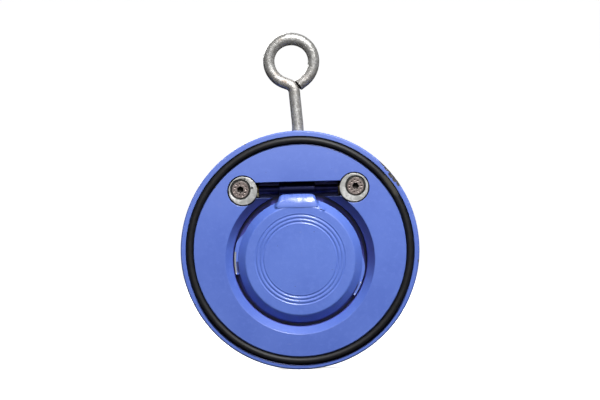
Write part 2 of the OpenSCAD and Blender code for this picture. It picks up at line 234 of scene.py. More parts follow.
# --------------------------------------------------------------- material helpers
class Shade:
    """Builds one procedural material. P is the object position in millimetres."""

    def __init__(self, name):
        self.mat = bpy.data.materials.new(name)
        self.mat.use_nodes = True
        self.t = self.mat.node_tree
        self.t.nodes.clear()
        out = self.t.nodes.new("ShaderNodeOutputMaterial")
        self.b = self.t.nodes.new("ShaderNodeBsdfPrincipled")
        self.t.links.new(self.b.outputs[0], out.inputs[0])
        tc = self.t.nodes.new("ShaderNodeTexCoord")
        self.P = self.vec("SCALE", tc.outputs["Object"], 1000.0)
        s = self.t.nodes.new("ShaderNodeSeparateXYZ")
        self.t.links.new(self.P, s.inputs[0])
        self.X, self.Y, self.Z = s.outputs

    def put(self, sock, v):
        if isinstance(v, bpy.types.NodeSocket):
            self.t.links.new(v, sock)
        elif isinstance(v, (tuple, list)) and sock.type == "RGBA":
            sock.default_value = (*v[:3], 1.0)
        else:
            sock.default_value = v

    def vec(self, op, a, b):
        n = self.t.nodes.new("ShaderNodeVectorMath")
        n.operation = op
        self.put(n.inputs[0], a)
        self.put(n.inputs["Scale"] if op == "SCALE" else n.inputs[1], b)
        return n.outputs["Value"] if op in ("LENGTH", "DISTANCE", "DOT_PRODUCT") else n.outputs[0]

    def m(self, op, a, b=0.0, c=0.0, clamped=False):
        n = self.t.nodes.new("ShaderNodeMath")
        n.operation, n.use_clamp = op, clamped
        self.put(n.inputs[0], a)
        self.put(n.inputs[1], b)
        self.put(n.inputs[2], c)
        return n.outputs[0]

    def add(self, *a):
        s = a[0]
        for v in a[1:]:
            s = self.m("ADD", s, v)
        return s

    def mul(self, *a):
        s = a[0]
        for v in a[1:]:
            s = self.m("MULTIPLY", s, v)
        return s

    def top(self, *a):
        s = a[0]
        for v in a[1:]:
            s = self.m("MAXIMUM", s, v)
        return s

    def step(self, x, a, b):
        """0 at a, 1 at b, smooth between; a may be above b."""
        n = self.t.nodes.new("ShaderNodeMapRange")
        n.interpolation_type = "SMOOTHSTEP"
        self.put(n.inputs["Value"], x)
        lo, hi, t0, t1 = (a, b, 0.0, 1.0) if a < b else (b, a, 1.0, 0.0)
        n.inputs["From Min"].default_value, n.inputs["From Max"].default_value = lo, hi
        n.inputs["To Min"].default_value, n.inputs["To Max"].default_value = t0, t1
        return n.outputs[0]

    def noise(self, scale, detail=3.0, rough=0.55, at=None, seed=0.0, stretch=None):
        v = at or self.P
        if stretch:
            v = self.vec("MULTIPLY", v, stretch)
        if seed:
            v = self.vec("ADD", v, (seed * 17.3, seed * 5.1, seed * 9.7))
        n = self.t.nodes.new("ShaderNodeTexNoise")
        self.put(n.inputs["Vector"], v)
        n.inputs["Scale"].default_value = scale
        n.inputs["Detail"].default_value = detail
        n.inputs["Roughness"].default_value = rough
        return n.outputs[0]

    def cells(self, scale, at=None, seed=0.0):
        v = at or self.P
        if seed:
            v = self.vec("ADD", v, (seed * 11.3, seed * 7.1, seed * 3.7))
        n = self.t.nodes.new("ShaderNodeTexVoronoi")
        self.put(n.inputs["Vector"], v)
        n.inputs["Scale"].default_value = scale
        s = self.t.nodes.new("ShaderNodeSeparateColor")
        self.t.links.new(n.outputs["Color"], s.inputs[0])
        return n.outputs["Distance"], s.outputs[0], s.outputs[1]

    def mix(self, f, a, b):
        n = self.t.nodes.new("ShaderNodeMix")
        n.data_type = "RGBA"
        self.put(n.inputs[0], f)
        self.put(n.inputs[6], a)
        self.put(n.inputs[7], b)
        return n.outputs[2]

    def lerp(self, f, a, b):
        n = self.t.nodes.new("ShaderNodeMix")
        n.data_type = "FLOAT"
        self.put(n.inputs[0], f)
        self.put(n.inputs[2], a)
        self.put(n.inputs[3], b)
        return n.outputs[0]

    def radius(self, cx, cz):
        """Distance from the axis through (cx, cz), seen from the front."""
        dx, dz = self.m("SUBTRACT", self.X, cx), self.m("SUBTRACT", self.Z, cz)
        return self.m("SQRT", self.add(self.mul(dx, dx), self.mul(dz, dz)))

    def angle(self, cx, cz):
        return self.m("ARCTAN2", self.m("SUBTRACT", self.Z, cz), self.m("SUBTRACT", self.X, cx))

    def near(self, x, at, width):
        """1 where x is at that value, falling to 0 width away."""
        return self.step(self.m("ABSOLUTE", self.m("SUBTRACT", x, at)), width, width * 0.35)

    def spot(self, x, z, rx, rz, ragged, soft=0.3, turn=0.0):
        """A patch about (x, z), rx by rz, with its outline moved by ragged (about 0)."""
        dx, dz = self.m("SUBTRACT", self.X, x), self.m("SUBTRACT", self.Z, z)
        c, s = cos(rad(turn)), sin(rad(turn))
        u = self.m("DIVIDE", self.add(self.mul(dx, c), self.mul(dz, s)), rx)
        w = self.m("DIVIDE", self.m("SUBTRACT", self.mul(dz, c), self.mul(dx, s)), rz)
        d = self.m("SQRT", self.add(self.mul(u, u), self.mul(w, w)))
        return self.step(self.add(d, ragged), 1.0 + soft, 1.0 - soft)

    def bump(self, height, strength=1.0):
        """height is in millimetres."""
        n = self.t.nodes.new("ShaderNodeBump")
        n.inputs["Strength"].default_value = strength
        n.inputs["Distance"].default_value = 0.001
        self.put(n.inputs["Height"], height)
        self.t.links.new(n.outputs[0], self.b.inputs["Normal"])

    def set(self, **kw):
        for k, v in kw.items():
            self.put(self.b.inputs[k.replace("_", " ")], v)


BLUE = (0.094, 0.168, 0.585)
BLUE_LIGHT = (0.118, 0.200, 0.640)
BLUE_DEEP = (0.078, 0.146, 0.545)
IRON = (0.026, 0.023, 0.021)


def enamel(name, base, light, deep, marks, peel=1.0):
    """Satin machinery enamel. marks(g, fray) gives chip, painted shade and scuff masks, tints, the metallic that keeps
    the painted shade dark, and gloss.
    """
    g = Shade(name)
    big = g.noise(0.030, 3, 0.5)
    mid = g.noise(0.30, 4, 0.6, seed=1)
    fine = g.noise(2.4, 4, 0.62, seed=2)
    fray = g.m("SUBTRACT", g.noise(1.3, 5, 0.7, seed=3), 0.5)
    col = g.mix(g.step(big, 0.30, 0.62), deep, base)
    col = g.mix(g.mul(g.step(mid, 0.46, 0.72), 0.36), col, light)
    col = g.mix(g.mul(g.step(fine, 0.52, 0.80), 0.16), col, deep)
    # painted light: the paint turns lighter and whiter towards the top
    col = g.mix(g.mul(g.step(g.Z, 10.0, 78.0), 0.20), col, (0.200, 0.260, 0.580))
    # specks of dirt and pinholes
    d, r1, r2 = g.cells(0.20, seed=1)
    specks = g.mul(g.step(g.add(d, g.mul(fray, 0.05)), 0.060, 0.030), g.step(r1, 0.80, 0.84))
    d2, q1, q2 = g.cells(0.45, seed=2)
    specks2 = g.mul(g.step(d2, 0.075, 0.04), g.step(q1, 0.90, 0.93))
    dust = g.mul(g.step(g.noise(0.10, 6, 0.7, seed=4), 0.60, 0.80), 0.09)
    col = g.mix(dust, col, (0.30, 0.36, 0.60))
    col = g.mix(g.mul(specks, 0.70), col, (0.030, 0.038, 0.120))
    col = g.mix(g.mul(specks2, 0.45), col, (0.24, 0.30, 0.62))
    chip, painted_shade, scuff, tints, shade_metallic, gloss = marks(g, fray)
    col = g.mix(g.mul(scuff, 0.50), col, (0.34, 0.40, 0.62))
    # tints hold painted shade and painted light as well as real wear
    for mask, colour in tints:
        col = g.mix(mask, col, colour)
    # painted shade: near-black navy over the recesses, gaps and slot
    col = g.mix(painted_shade, col, (0.008, 0.009, 0.034))
    metal = g.mix(g.step(g.noise(1.8, 4, 0.7, seed=5), 0.40, 0.66), IRON, (0.066, 0.059, 0.051))
    col = g.mix(chip, col, metal)
    rough = g.add(0.44, g.mul(mid, 0.12), g.mul(fine, 0.06))
    rough = g.lerp(gloss, rough, 0.25)
    rough = g.lerp(chip, rough, 0.78)
    rough = g.lerp(painted_shade, rough, 0.27)
    height = g.add(
        g.mul(g.noise(0.75, 2, 0.5, seed=6), 0.030 * peel),
        g.mul(g.noise(2.1, 3, 0.55, seed=7), 0.008 * peel),
        g.mul(g.noise(0.11, 2, 0.5, seed=8), 0.10),
        g.mul(specks, -0.03),
        g.mul(chip, -0.14),
        g.mul(chip, g.noise(3.0, 4, 0.7, seed=9), 0.12),
    )
    g.bump(height)
    # metallic on the painted shade keeps it dark
    g.set(Base_Color=col, Roughness=rough, Metallic=shade_metallic)
    g.b.inputs["IOR"].default_value = 1.56
    g.b.inputs["Coat Weight"].default_value = 0.35
    g.b.inputs["Coat Roughness"].default_value = 0.16
    return g.mat


def body_marks(g, fray):
    r = g.radius(0, 0)
    front = g.step(g.Y, -7.4, -8.2)
    a = g.angle(0, 0)
    # chipped patches on the outer edge, upper right
    edge = g.m("SUBTRACT", BODY_R, r)
    run = g.mul(g.step(a, rad(30.0), rad(33.0)), g.step(a, rad(47.5), rad(45.0)))
    line = g.mul(g.step(g.add(edge, g.mul(fray, 1.7)), 1.15, 0.60), run, front)
    chips = [
        (60.25, 53.85, 1.35, 2.2, 131), (62.95, 49.15, 1.60, 2.2, 128), (65.40, 46.15, 1.60, 2.1, 125),
        (67.45, 43.00, 0.9, 1.5, 122), (-57.0, 44.1, 0.95, 0.95, 144), (-35.6, 72.5, 0.5, 0.8, 116),
        (14.2, -79.9, 0.6, 0.9, 10), (-72.2, -35.2, 0.45, 0.8, 26), (79.9, -9.5, 0.4, 1.0, 84),
    ]
    chip = line
    for x, z, rx, rz, turn in chips:
        chip = g.top(chip, g.mul(g.spot(x, z, rz, rx, g.mul(fray, 1.5), 0.16, turn), front))
    # small nicks along the edges that get knocked
    knock = g.noise(0.55, 4, 0.7, seed=11)
    rr = g.radius(0, RECESS_Y)
    lips = g.top(g.near(r, GROOVE_R1, 0.35), g.near(r, GROOVE_R2, 0.35), g.near(rr, RECESS_R + CHAMFER, 0.40),
                 g.near(r, BODY_R - 0.3, 0.7), g.near(rr, PORT_R, 0.4))
    chip = g.top(chip, g.mul(lips, g.step(knock, 0.700, 0.735)))
    # painted highlight along the slot's lower lips, which have also lost their paint in places
    ax = g.m("ABSOLUTE", g.X)
    slot_lip_highlight_and_wear = g.mul(g.near(g.Z, HINGE_Y - SLOT_H / 2 - 0.1, 0.38), g.step(ax, 19.2, 20.2), g.step(ax, 29.4, 28.4),
                      g.step(g.noise(0.5, 3, 0.6, seed=12), 0.36, 0.48), g.step(g.Y, 2.0, 0.0))
    # painted shade round the retaining discs in their counterbores, in the ring grooves, deep in the slot and on the
    # recess floor by the bore
    dl, dr = g.radius(DISC_L[0] - 0.1, DISC_L[1]), g.radius(*DISC_R)
    cbore_wall_shade = g.top(g.mul(g.step(dl, 9.1, 9.6), g.step(dl, 10.95, 10.72)), g.mul(g.step(dr, 9.1, 9.6), g.step(dr, 10.95, 10.72)))
    deep = g.mul(g.step(g.Y, -8.99, -8.80), g.step(g.Y, -3.0, -4.4))
    groove = g.mul(g.step(r, 71.9, 72.2), g.step(r, 77.8, 77.5), g.step(g.Y, -8.4, -7.6), 0.55)
    # painted shade inside the slot
    inside = g.mul(g.step(g.m("ABSOLUTE", g.m("SUBTRACT", g.Z, HINGE_Y)), SLOT_H / 2 + 0.15, SLOT_H / 2 - 0.2),
                   g.step(g.m("ABSOLUTE", g.X), SLOT_L / 2 + 0.2, SLOT_L / 2 - 0.3), g.step(g.Y, -5.0, 2.5), g.step(g.Y, 7.4, 6.2), g.step(g.Z, HINGE_Y + 3.6, HINGE_Y + 2.6), 0.70)
    # painted shade on the recess floor beside the bore
    corner = g.mul(g.step(rr, RECESS_R + 0.9, RECESS_R - 0.2), g.step(rr, 43.4, 44.6), g.step(g.Y, 1.6, 3.6), g.step(g.Y, 6.0, 5.0), 0.80)
    # painted shadow of the front ring, under it at the bottom and inside it at the top
    rd = g.radius(0, -RING_DROP)
    ring_shadow_top = g.mul(g.step(rd, 71.35, 71.75), g.step(rd, 74.0, 73.0), g.step(g.Z, 18.0, 52.0))
    ring_shadow_bottom = g.mul(g.step(rd, 76.0, 77.0), g.step(rd, 78.40, 78.00), g.step(g.Z, -22.0, -50.0))
    ring_shadow_bottom = g.top(ring_shadow_bottom, g.mul(g.step(rd, 71.25, 71.65), g.step(rd, 74.0, 73.0), g.step(g.Z, -22.0, -50.0), 0.7))
    ring_shadow = g.mul(g.top(ring_shadow_top, ring_shadow_bottom), g.step(g.Y, -7.4, -8.2), 0.93)
    painted_shade = g.top(g.mul(cbore_wall_shade, deep, 0.96), groove, inside, corner, ring_shadow)
    # painted shade on the recess's upper chamfer, its bore (lighter towards the bottom) and the slot's walls
    shade = g.mul(g.step(rr, RECESS_R + CHAMFER + 0.35, RECESS_R + CHAMFER - 0.35), g.step(g.Y, -8.95, -8.6), g.step(g.Y, 6.0, 5.0))
    upper = g.mul(shade, g.step(g.add(g.Z, g.mul(g.X, 0.32)), -20.0, 14.0), 0.86)
    bore = g.mul(g.step(rr, RECESS_R + 0.6, RECESS_R + 0.1), g.step(g.Y, -5.0, -4.0), g.step(g.Y, 6.0, 5.0), 0.75)
    slot_wall_shade = g.mul(g.step(g.m("ABSOLUTE", g.m("SUBTRACT", g.Z, HINGE_Y)), SLOT_H / 2 + 0.25, SLOT_H / 2 - 0.1),
                      g.step(g.m("ABSOLUTE", g.X), SLOT_L / 2 + 0.2, SLOT_L / 2 - 0.3), g.step(g.Y, -8.8, -8.2), g.step(g.Y, 7.4, 6.2), 0.85)
    # painted light: the slot's upper part is lighter
    slot_top_light = g.mul(slot_wall_shade, g.step(g.Z, HINGE_Y + 2.6, HINGE_Y + 3.4))
    tints = [(upper, (0.025, 0.028, 0.190)), (bore, g.mix(g.step(g.Z, -42.0, -12.0), (0.085, 0.090, 0.44), (0.060, 0.058, 0.38))), (slot_wall_shade, (0.030, 0.030, 0.24)),
             (slot_top_light, (0.090, 0.090, 0.52)), (slot_lip_highlight_and_wear, (0.36, 0.42, 0.74))]
    scuff = g.mul(g.step(g.noise(0.16, 5, 0.7, seed=13, stretch=(1, 1, 3)), 0.64, 0.74), 0.30)
    scuff = g.top(scuff, g.mul(g.near(r, BODY_R - 0.9, 0.7), g.step(knock, 0.55, 0.62), 0.8))
    # metallic on the painted shade in the slot and beside the ring keeps it dark
    return chip, painted_shade, scuff, tints, g.top(g.mul(inside, 0.9), g.mul(ring_shadow, 0.96)), 0.0


def flap_marks(g, fray):
    r = g.radius(0, FLAP_Y)
    a = g.angle(0, FLAP_Y)
    left = g.top(g.step(a, rad(171.0), rad(172.0)), g.step(a, rad(-169.0), rad(-170.5)))
    right = g.mul(g.step(a, rad(-34.0), rad(-33.0)), g.step(a, rad(-20.0), rad(-22.0)))
    front = g.step(g.Y, -0.4, -0.7)
    pad_l = g.mul(g.step(g.add(r, g.mul(fray, 0.6)), 43.80, 44.05), front, left)
    pad_r = g.mul(g.step(g.add(r, g.mul(fray, 0.6)), 43.35, 43.60), front, right)
    chip = g.mul(pad_l, g.step(g.noise(1.6, 4, 0.7, seed=21), 0.60, 0.68), 0.7)
    knock = g.noise(0.6, 4, 0.7, seed=11)
    chip = g.top(chip, g.mul(g.near(r, FLAP_R, 0.5), g.step(knock, 0.68, 0.72)))
    chip = g.top(chip, g.spot(14.9, 27.1, 0.42, 0.34, g.mul(fray, 0.8), 0.2))
    for x, z, q in ((-8.4, 16.3, 0.34), (-15.2, 3.1, 0.28), (12.4, 14.6, 0.26), (21.5, -14.0, 0.24), (-4.0, -24.6, 0.3), (-1.4, -34.8, 0.46), (9.8, 12.1, 0.34)):
        chip = g.top(chip, g.mul(g.spot(x, z, q, q * 0.7, g.mul(fray, 1.6), 0.25), 0.8))
    scuff = g.mul(g.near(r, FACE_R, 0.5), g.step(knock, 0.56, 0.64), 0.30)
    scuff = g.top(scuff, g.mul(g.step(g.noise(0.14, 5, 0.7, seed=13, stretch=(1, 1, 2)), 0.64, 0.74), 0.28))
    # painted shade round the seat groove on the flap's back
    groove = g.mul(g.near(r, SEAT_RING_R, 3.2), g.step(g.Y, 1.0, 3.0), 0.4)
    # painted shade on the knuckle and the arm under the boss, where the slot shades them
    arm = g.mul(g.step(g.Y, -4.3, -3.7), g.step(g.Z, 35.0, 35.8), g.step(g.m("ABSOLUTE", g.X), 14.6, 13.6))
    knuckle = g.top(g.step(g.Z, 38.25, 38.6), arm)
    # painted shade on the flap's rim beside the gap
    side = g.mul(g.step(r, 41.9, 42.25), g.step(g.Y, -0.75, -0.2), g.step(g.Z, 34.0, 32.0), 0.45)
    # painted shade on the ledge between the flank and the left pad's rubbed strip, widest at the lower end, and along
    # the right pad's inner edge
    low = g.mul(g.step(r, 42.0, 42.3), g.step(r, 43.8, 43.5), front, g.step(a, rad(-169.0), rad(-170.5)), 0.9)
    line = g.mul(g.near(r, 42.75, 0.62), front, g.step(a, rad(-35.5), rad(-34.5)), g.step(a, rad(-20.0), rad(-27.0)), 0.95)
    # painted highlights: white glints on the pads
    painted_glints = g.top(g.mul(g.spot(-43.9, -15.0, 0.34, 0.6, g.mul(fray, 1.2), 0.35, 10), 0.8),
                  g.mul(g.spot(36.5, -31.3, 0.60, 0.28, g.mul(fray, 1.4), 0.35, 56), 0.8),
                  g.mul(g.spot(40.8, -23.4, 0.55, 0.26, g.mul(fray, 1.4), 0.35, 68), 0.7))
    # tints: painted shade on the knuckle and beside the pads, the right pad's lighter strip, the left pad's bare strip,
    # painted highlights
    tints = [(g.mul(knuckle, 0.97), (0.005, 0.005, 0.034)), (g.top(low, line), (0.020, 0.022, 0.100)), (g.mul(pad_r, 0.8), (0.155, 0.235, 0.62)),
             (pad_l, (0.27, 0.28, 0.285)), (g.mul(painted_glints, front), (0.85, 0.87, 0.92))]
    gloss = g.mul(g.step(g.m("ABSOLUTE", g.m("SUBTRACT", g.X, LUG_X)), 14.5, 13.0), g.step(g.Z, 30.5, 32.5), g.step(g.Z, 39.0, 38.0),
                  g.step(g.noise(0.85, 4, 0.65, seed=15), 0.34, 0.52))
    # metallic on the knuckle's painted shade keeps it dark
    return chip, g.top(groove, g.mul(knuckle, 0.2), side), scuff, tints, knuckle, gloss


def rubber(name, scuffed=False):
    g = Shade(name)
    mid = g.noise(0.45, 4, 0.6)
    fine = g.noise(5.0, 3, 0.6, seed=1)
    col = g.mix(g.step(mid, 0.35, 0.7), (0.0035, 0.0035, 0.0052), (0.0085, 0.0085, 0.0110))
    dust = g.mul(g.step(g.noise(0.20, 5, 0.7, seed=2), 0.52, 0.78), 0.16)
    col = g.mix(dust, col, (0.040, 0.040, 0.043))
    d, q, w = g.cells(0.9, seed=3)
    lint = g.mul(g.step(d, 0.10, 0.05), g.step(q, 0.93, 0.95))
    col = g.mix(g.mul(lint, 0.6), col, (0.16, 0.155, 0.15))
    rough = g.add(0.48, g.mul(mid, 0.12))
    if scuffed:
        a = g.angle(0, 0)
        r = g.radius(0, 0)
        fray = g.m("SUBTRACT", g.noise(0.8, 5, 0.7, seed=4), 0.5)
        band = g.mul(g.step(g.add(a, g.mul(fray, 0.10)), rad(27.0), rad(30.0)),
                     g.step(g.add(a, g.mul(fray, 0.10)), rad(41.5), rad(37.5)),
                     g.step(g.add(r, g.mul(fray, 1.2)), 73.3, 74.6))
        col = g.mix(g.mul(band, 0.75), col, (0.046, 0.044, 0.037))
        rough = g.lerp(band, rough, 0.75)
    seam = g.near(g.Y, -RING_Z, 0.10)
    height = g.add(g.mul(fine, 0.008), g.mul(g.noise(1.6, 3, 0.6, seed=6), 0.020), g.mul(mid, 0.02), g.mul(seam, 0.03))
    g.bump(height)
    g.set(Base_Color=col, Roughness=rough, Metallic=0.0)
    g.b.inputs["IOR"].default_value = 1.43
    return g.mat


def bright_steel(name, centre, screw):
    """Turned washer steel: fine rings about its own centre, bright and dull patches, and a painted reflection across
    the diagonals.
    """
    g = Shade(name)
    r = g.radius(*centre)
    a = g.angle(*centre)
    n = g.t.nodes.new("ShaderNodeCombineXYZ")
    g.put(n.inputs[0], g.mul(r, 3.4))
    g.put(n.inputs[1], g.mul(a, 0.9))
    rings = g.noise(1.0, 3, 0.6, at=n.outputs[0])
    patch = g.noise(0.30, 4, 0.6, seed=2)
    grit = g.noise(3.5, 4, 0.7, seed=3)
    col = g.mix(g.step(patch, 0.36, 0.66), (0.44, 0.44, 0.42), (0.76, 0.76, 0.75))
    # painted reflection: bright at the lower left and upper right, painted shade across the other diagonal
    glare_diagonal = g.m("SINE", g.add(g.mul(a, 2.0), -0.2))
    col = g.mix(g.mul(g.step(glare_diagonal, 0.5, -0.9), 0.45), col, (0.36, 0.36, 0.35))
    col = g.mix(g.mul(g.step(grit, 0.50, 0.74), 0.40), col, (0.30, 0.295, 0.275))
    rough = g.add(0.33, g.mul(patch, 0.16), g.mul(grit, 0.10))
    # painted shade in the countersink's mouth round the screw, set a little higher, and the left disc's staking nicks
    # darkened
    mouth = (screw[0], screw[1] + (0.25 if screw[0] < 0 else 0.35))
    cone = g.mul(g.step(g.radius(*mouth), 7.12, 6.95), 0.94)
    if screw[0] < 0:
        fray = g.m("SUBTRACT", g.noise(1.6, 4, 0.7, seed=5), 0.5)
        cone = g.top(cone, g.mul(g.spot(-31.5, 42.9, 0.85, 0.62, g.mul(fray, 0.8), 0.25, 8), 0.85),
                     g.mul(g.spot(-36.2, 49.0, 0.8, 0.6, g.mul(fray, 0.8), 0.25, -20), 0.75))
    col = g.mix(cone, col, (0.018, 0.018, 0.016))
    height = g.add(g.mul(rings, 0.010), g.mul(grit, 0.012), g.mul(patch, 0.06))
    g.bump(height)
    g.set(Base_Color=col, Roughness=rough)
    g.b.inputs["Metallic"].default_value = 0.62
    return g.mat


def stainless(name, centre):
    """Screw head: warm stainless, with painted shade in the dimples, the socket and the gap round the head, and a
    painted highlight on the socket's lip.
    """
    g = Shade(name)
    r = g.radius(*centre)
    patch = g.noise(0.8, 4, 0.6)
    grit = g.noise(4.5, 4, 0.7, seed=1)
    col = g.mix(g.step(patch, 0.35, 0.68), (0.33, 0.265, 0.245), (0.48, 0.41, 0.385))
    col = g.mix(g.mul(g.step(grit, 0.48, 0.72), 0.5), col, (0.27, 0.215, 0.20))
    # painted shade in the dimples
    low = g.step(g.Y, -SCREW_TOP + 0.03, -SCREW_TOP + 0.14)
    col = g.mix(g.mul(low, g.step(r, 2.95, 3.05), g.step(r, 5.3, 5.1), 0.85), col, (0.060, 0.040, 0.034))
    # painted highlight on the socket's lip
    lip = g.mul(g.step(g.Y, -SCREW_TOP + 0.01, -SCREW_TOP + 0.06), g.step(r, 3.0, 2.8))
    col = g.mix(g.mul(lip, 0.8), col, (0.80, 0.77, 0.74))
    # painted shade in the socket
    socket = g.mul(g.step(g.Y, -SCREW_TOP + 0.15, -SCREW_TOP + 0.24), g.step(r, 2.9, 2.7))
    col = g.mix(g.mul(socket, 0.97), col, (0.012, 0.009, 0.008))
    # painted shade in the gap round the head
    rim = g.mul(g.step(r, 5.42, 5.62), 0.80)
    col = g.mix(rim, col, (0.050, 0.047, 0.044))
    rough = g.add(0.30, g.mul(patch, 0.18), g.mul(socket, 0.15))
    g.bump(g.add(g.mul(grit, 0.010), g.mul(patch, 0.03)))
    g.set(Base_Color=col, Roughness=rough, Metallic=1.0)
    return g.mat


TAIL_SKEW = 0.16                                     # slope of the tail's sheared end


def eye_path():
    """Centre line of the bent bar as (x, y, tangent angle, length along)."""
    lean, stem_y, lean_r, bend_r, bend_to = 4.4, 83.0, 60.0, 6.0, 158.0
    h1 = 90 + lean
    after = lambda p, r, s, a, b: (p[0] + s * r * (sin(rad(b)) - sin(rad(a))), p[1] - s * r * (cos(rad(b)) - cos(rad(a))))
    p0 = (EYE_X, stem_y)
    p1 = after(p0, lean_r, 1, 90, h1)
    left_r = EYE_R + 0.6
    left_c = (EYE_C[0] - EYE_R + left_r, EYE_C[1])
    p4 = (left_c[0] + left_r * cos(rad(bend_to + 90)), left_c[1] + left_r * sin(rad(bend_to + 90)))
    bend_d = after((0, 0), bend_r, 1, h1, bend_to)
    u = (cos(rad(bend_to)), sin(rad(bend_to)))
    w = (cos(rad(h1)), sin(rad(h1)))
    gap = (p4[0] - p1[0] - bend_d[0], p4[1] - p1[1] - bend_d[1])
    det = w[0] * u[1] - w[1] * u[0]
    stem_s = (gap[0] * u[1] - gap[1] * u[0]) / det
    run_q = (w[0] * gap[1] - w[1] * gap[0]) / det
    tail_r = EYE_R + 2.2
    pieces = [("line", stem_y - 80.6, 90, 0.4), ("arc", lean_r, 90, h1), ("line", stem_s, h1, 0.4), ("arc", bend_r, h1, bend_to),
              ("line", run_q, bend_to, 0.4), ("arc", -left_r, bend_to, 90), ("arc", -EYE_R, 90, -90), ("arc", -tail_r, -90, -144),
              ("line", 4.55, -144, 0.4)]
    x, y, s = EYE_X, 80.6, 80.6 - 63.6
    out = [(EYE_X, 63.6 + k * 0.1, 90.0, k * 0.1) for k in range(171)]
    for kind, v, h, e in pieces:
        length = v if kind == "line" else abs(rad(e - h) * v)
        n = max(1, round(length / 0.38))
        bx, by = x, y
        for k in range(1, n + 1):
            t = k / n
            if kind == "line":
                x, y, a = bx + v * t * cos(rad(h)), by + v * t * sin(rad(h)), h
            else:
                a = h + (e - h) * t
                sg = 1 if v > 0 else -1
                x = bx + sg * abs(v) * (sin(rad(a)) - sin(rad(h)))
                y = by - sg * abs(v) * (cos(rad(a)) - cos(rad(h)))
            out.append((x, y, a, s + length * t))
        s += length
    return out

def bar_steel(name):
    """Bent bright bar: mottled zinc-grey, scale, dull spots, a little rust, and painted shade over the ring's top."""
    g = Shade(name)
    mottle = g.noise(0.75, 5, 0.68)
    big = g.noise(0.13, 3, 0.5, seed=1)
    grit = g.noise(3.2, 4, 0.7, seed=2)
    col = g.mix(g.step(mottle, 0.34, 0.66), (0.34, 0.332, 0.315), (0.70, 0.70, 0.69))
    col = g.mix(g.mul(g.step(big, 0.40, 0.66), 0.35), col, (0.40, 0.385, 0.355))
    d, q, w = g.cells(0.85, seed=1)
    pits = g.mul(g.step(g.add(d, g.mul(g.m("SUBTRACT", grit, 0.5), 0.3)), 0.30, 0.14), g.step(q, 0.50, 0.62))
    col = g.mix(g.mul(pits, 0.55), col, (0.24, 0.225, 0.20))
    fray = g.m("SUBTRACT", g.noise(1.1, 5, 0.7, seed=3), 0.5)
    rust = g.spot(-7.7, 114.65, 2.6, 1.4, g.mul(fray, 1.6), 0.5, -25)
    rust = g.top(rust, g.mul(g.spot(-12.9, 120.05, 1.9, 1.1, g.mul(fray, 1.8), 0.5, -40), 0.6))
    rust = g.top(rust, g.mul(g.spot(-9.8, 143.05, 1.5, 1.0, g.mul(fray, 1.8), 0.5, 30), 0.55))
    rust = g.top(rust, g.mul(g.spot(6.9, 117.15, 1.2, 0.8, g.mul(fray, 1.8), 0.5, 40), 0.6))
    thin = g.mul(g.step(g.noise(0.22, 6, 0.72, seed=4), 0.58, 0.72), 0.28)
    rust = g.top(rust, thin)
    low = g.mul(g.step(g.Z, 126.0, 116.0), g.step(g.Z, 104.0, 110.0), g.step(mottle, 0.30, 0.62), 0.5)
    rust = g.top(rust, low)
    # painted shade: darker over the top of the ring
    col = g.mix(g.mul(g.step(g.Z, 116.0, 141.0), 0.42), col, (0.225, 0.220, 0.205))
    col = g.mix(g.mul(rust, 0.66), col, (0.150, 0.098, 0.062))
    ex, ez, ea, _ = eye_path()[-1]
    along = g.add(g.mul(g.m("SUBTRACT", g.X, ex), cos(rad(ea))), g.mul(g.m("SUBTRACT", g.Z, ez), sin(rad(ea))), g.mul(g.Y, -TAIL_SKEW))
    d_end = g.m("SQRT", g.add(g.m("POWER", g.m("SUBTRACT", g.X, ex), 2.0), g.m("POWER", g.m("SUBTRACT", g.Z, ez), 2.0)))
    cut = g.mul(g.step(along, -0.30, -0.16), g.step(along, 0.28, 0.14), g.step(d_end, 4.5, 4.1))
    col = g.mix(g.mul(cut, 0.95), col, (0.020, 0.018, 0.016))
    rough = g.add(0.29, g.mul(mottle, 0.16), g.mul(grit, 0.06), g.mul(rust, 0.2))
    height = g.add(g.mul(mottle, 0.10), g.mul(grit, 0.014), g.mul(pits, -0.05), g.mul(rust, 0.03))
    g.bump(height)
    g.set(Base_Color=col, Roughness=rough)
    g.b.inputs["Metallic"].default_value = 0.68
    return g.mat


def bronze(name):
    g = Shade(name)
    mid = g.noise(0.6, 4, 0.6)
    fine = g.noise(4.0, 3, 0.6, seed=1)
    col = g.mix(g.step(mid, 0.35, 0.68), (0.045, 0.033, 0.016), (0.085, 0.064, 0.030))
    col = g.mix(g.mul(g.step(fine, 0.5, 0.75), 0.4), col, (0.045, 0.032, 0.018))
    fray = g.m("SUBTRACT", fine, 0.5)
    col = g.mix(g.mul(g.spot(-27.75, 38.1, 0.75, 1.4, g.mul(fray, 0.6), 0.3), 0.9), col, (0.42, 0.36, 0.15))
    g.bump(g.add(g.mul(fine, 0.01), g.mul(mid, 0.02)))
    g.set(Base_Color=col, Roughness=g.add(0.36, g.mul(mid, 0.15)), Metallic=0.9)
    return g.mat


def pin_steel(name):
    """Ground pin: navy like the paint, darkened far below it as painted shade for the slot, with metallic to keep it
    dark.
    """
    g = Shade(name)
    mid = g.noise(0.5, 4, 0.6)
    streak = g.noise(1.0, 3, 0.6, seed=1, stretch=(6.0, 0.6, 0.6))
    col = g.mix(g.step(mid, 0.38, 0.62), (0.008, 0.009, 0.048), (0.013, 0.014, 0.070))
    col = g.mix(g.mul(g.step(streak, 0.5, 0.7), 0.4), col, (0.018, 0.019, 0.056))
    g.bump(g.add(g.mul(streak, 0.008), g.mul(mid, 0.02)))
    g.set(Base_Color=col, Roughness=g.add(0.32, g.mul(mid, 0.16)), Metallic=0.85)
    return g.mat


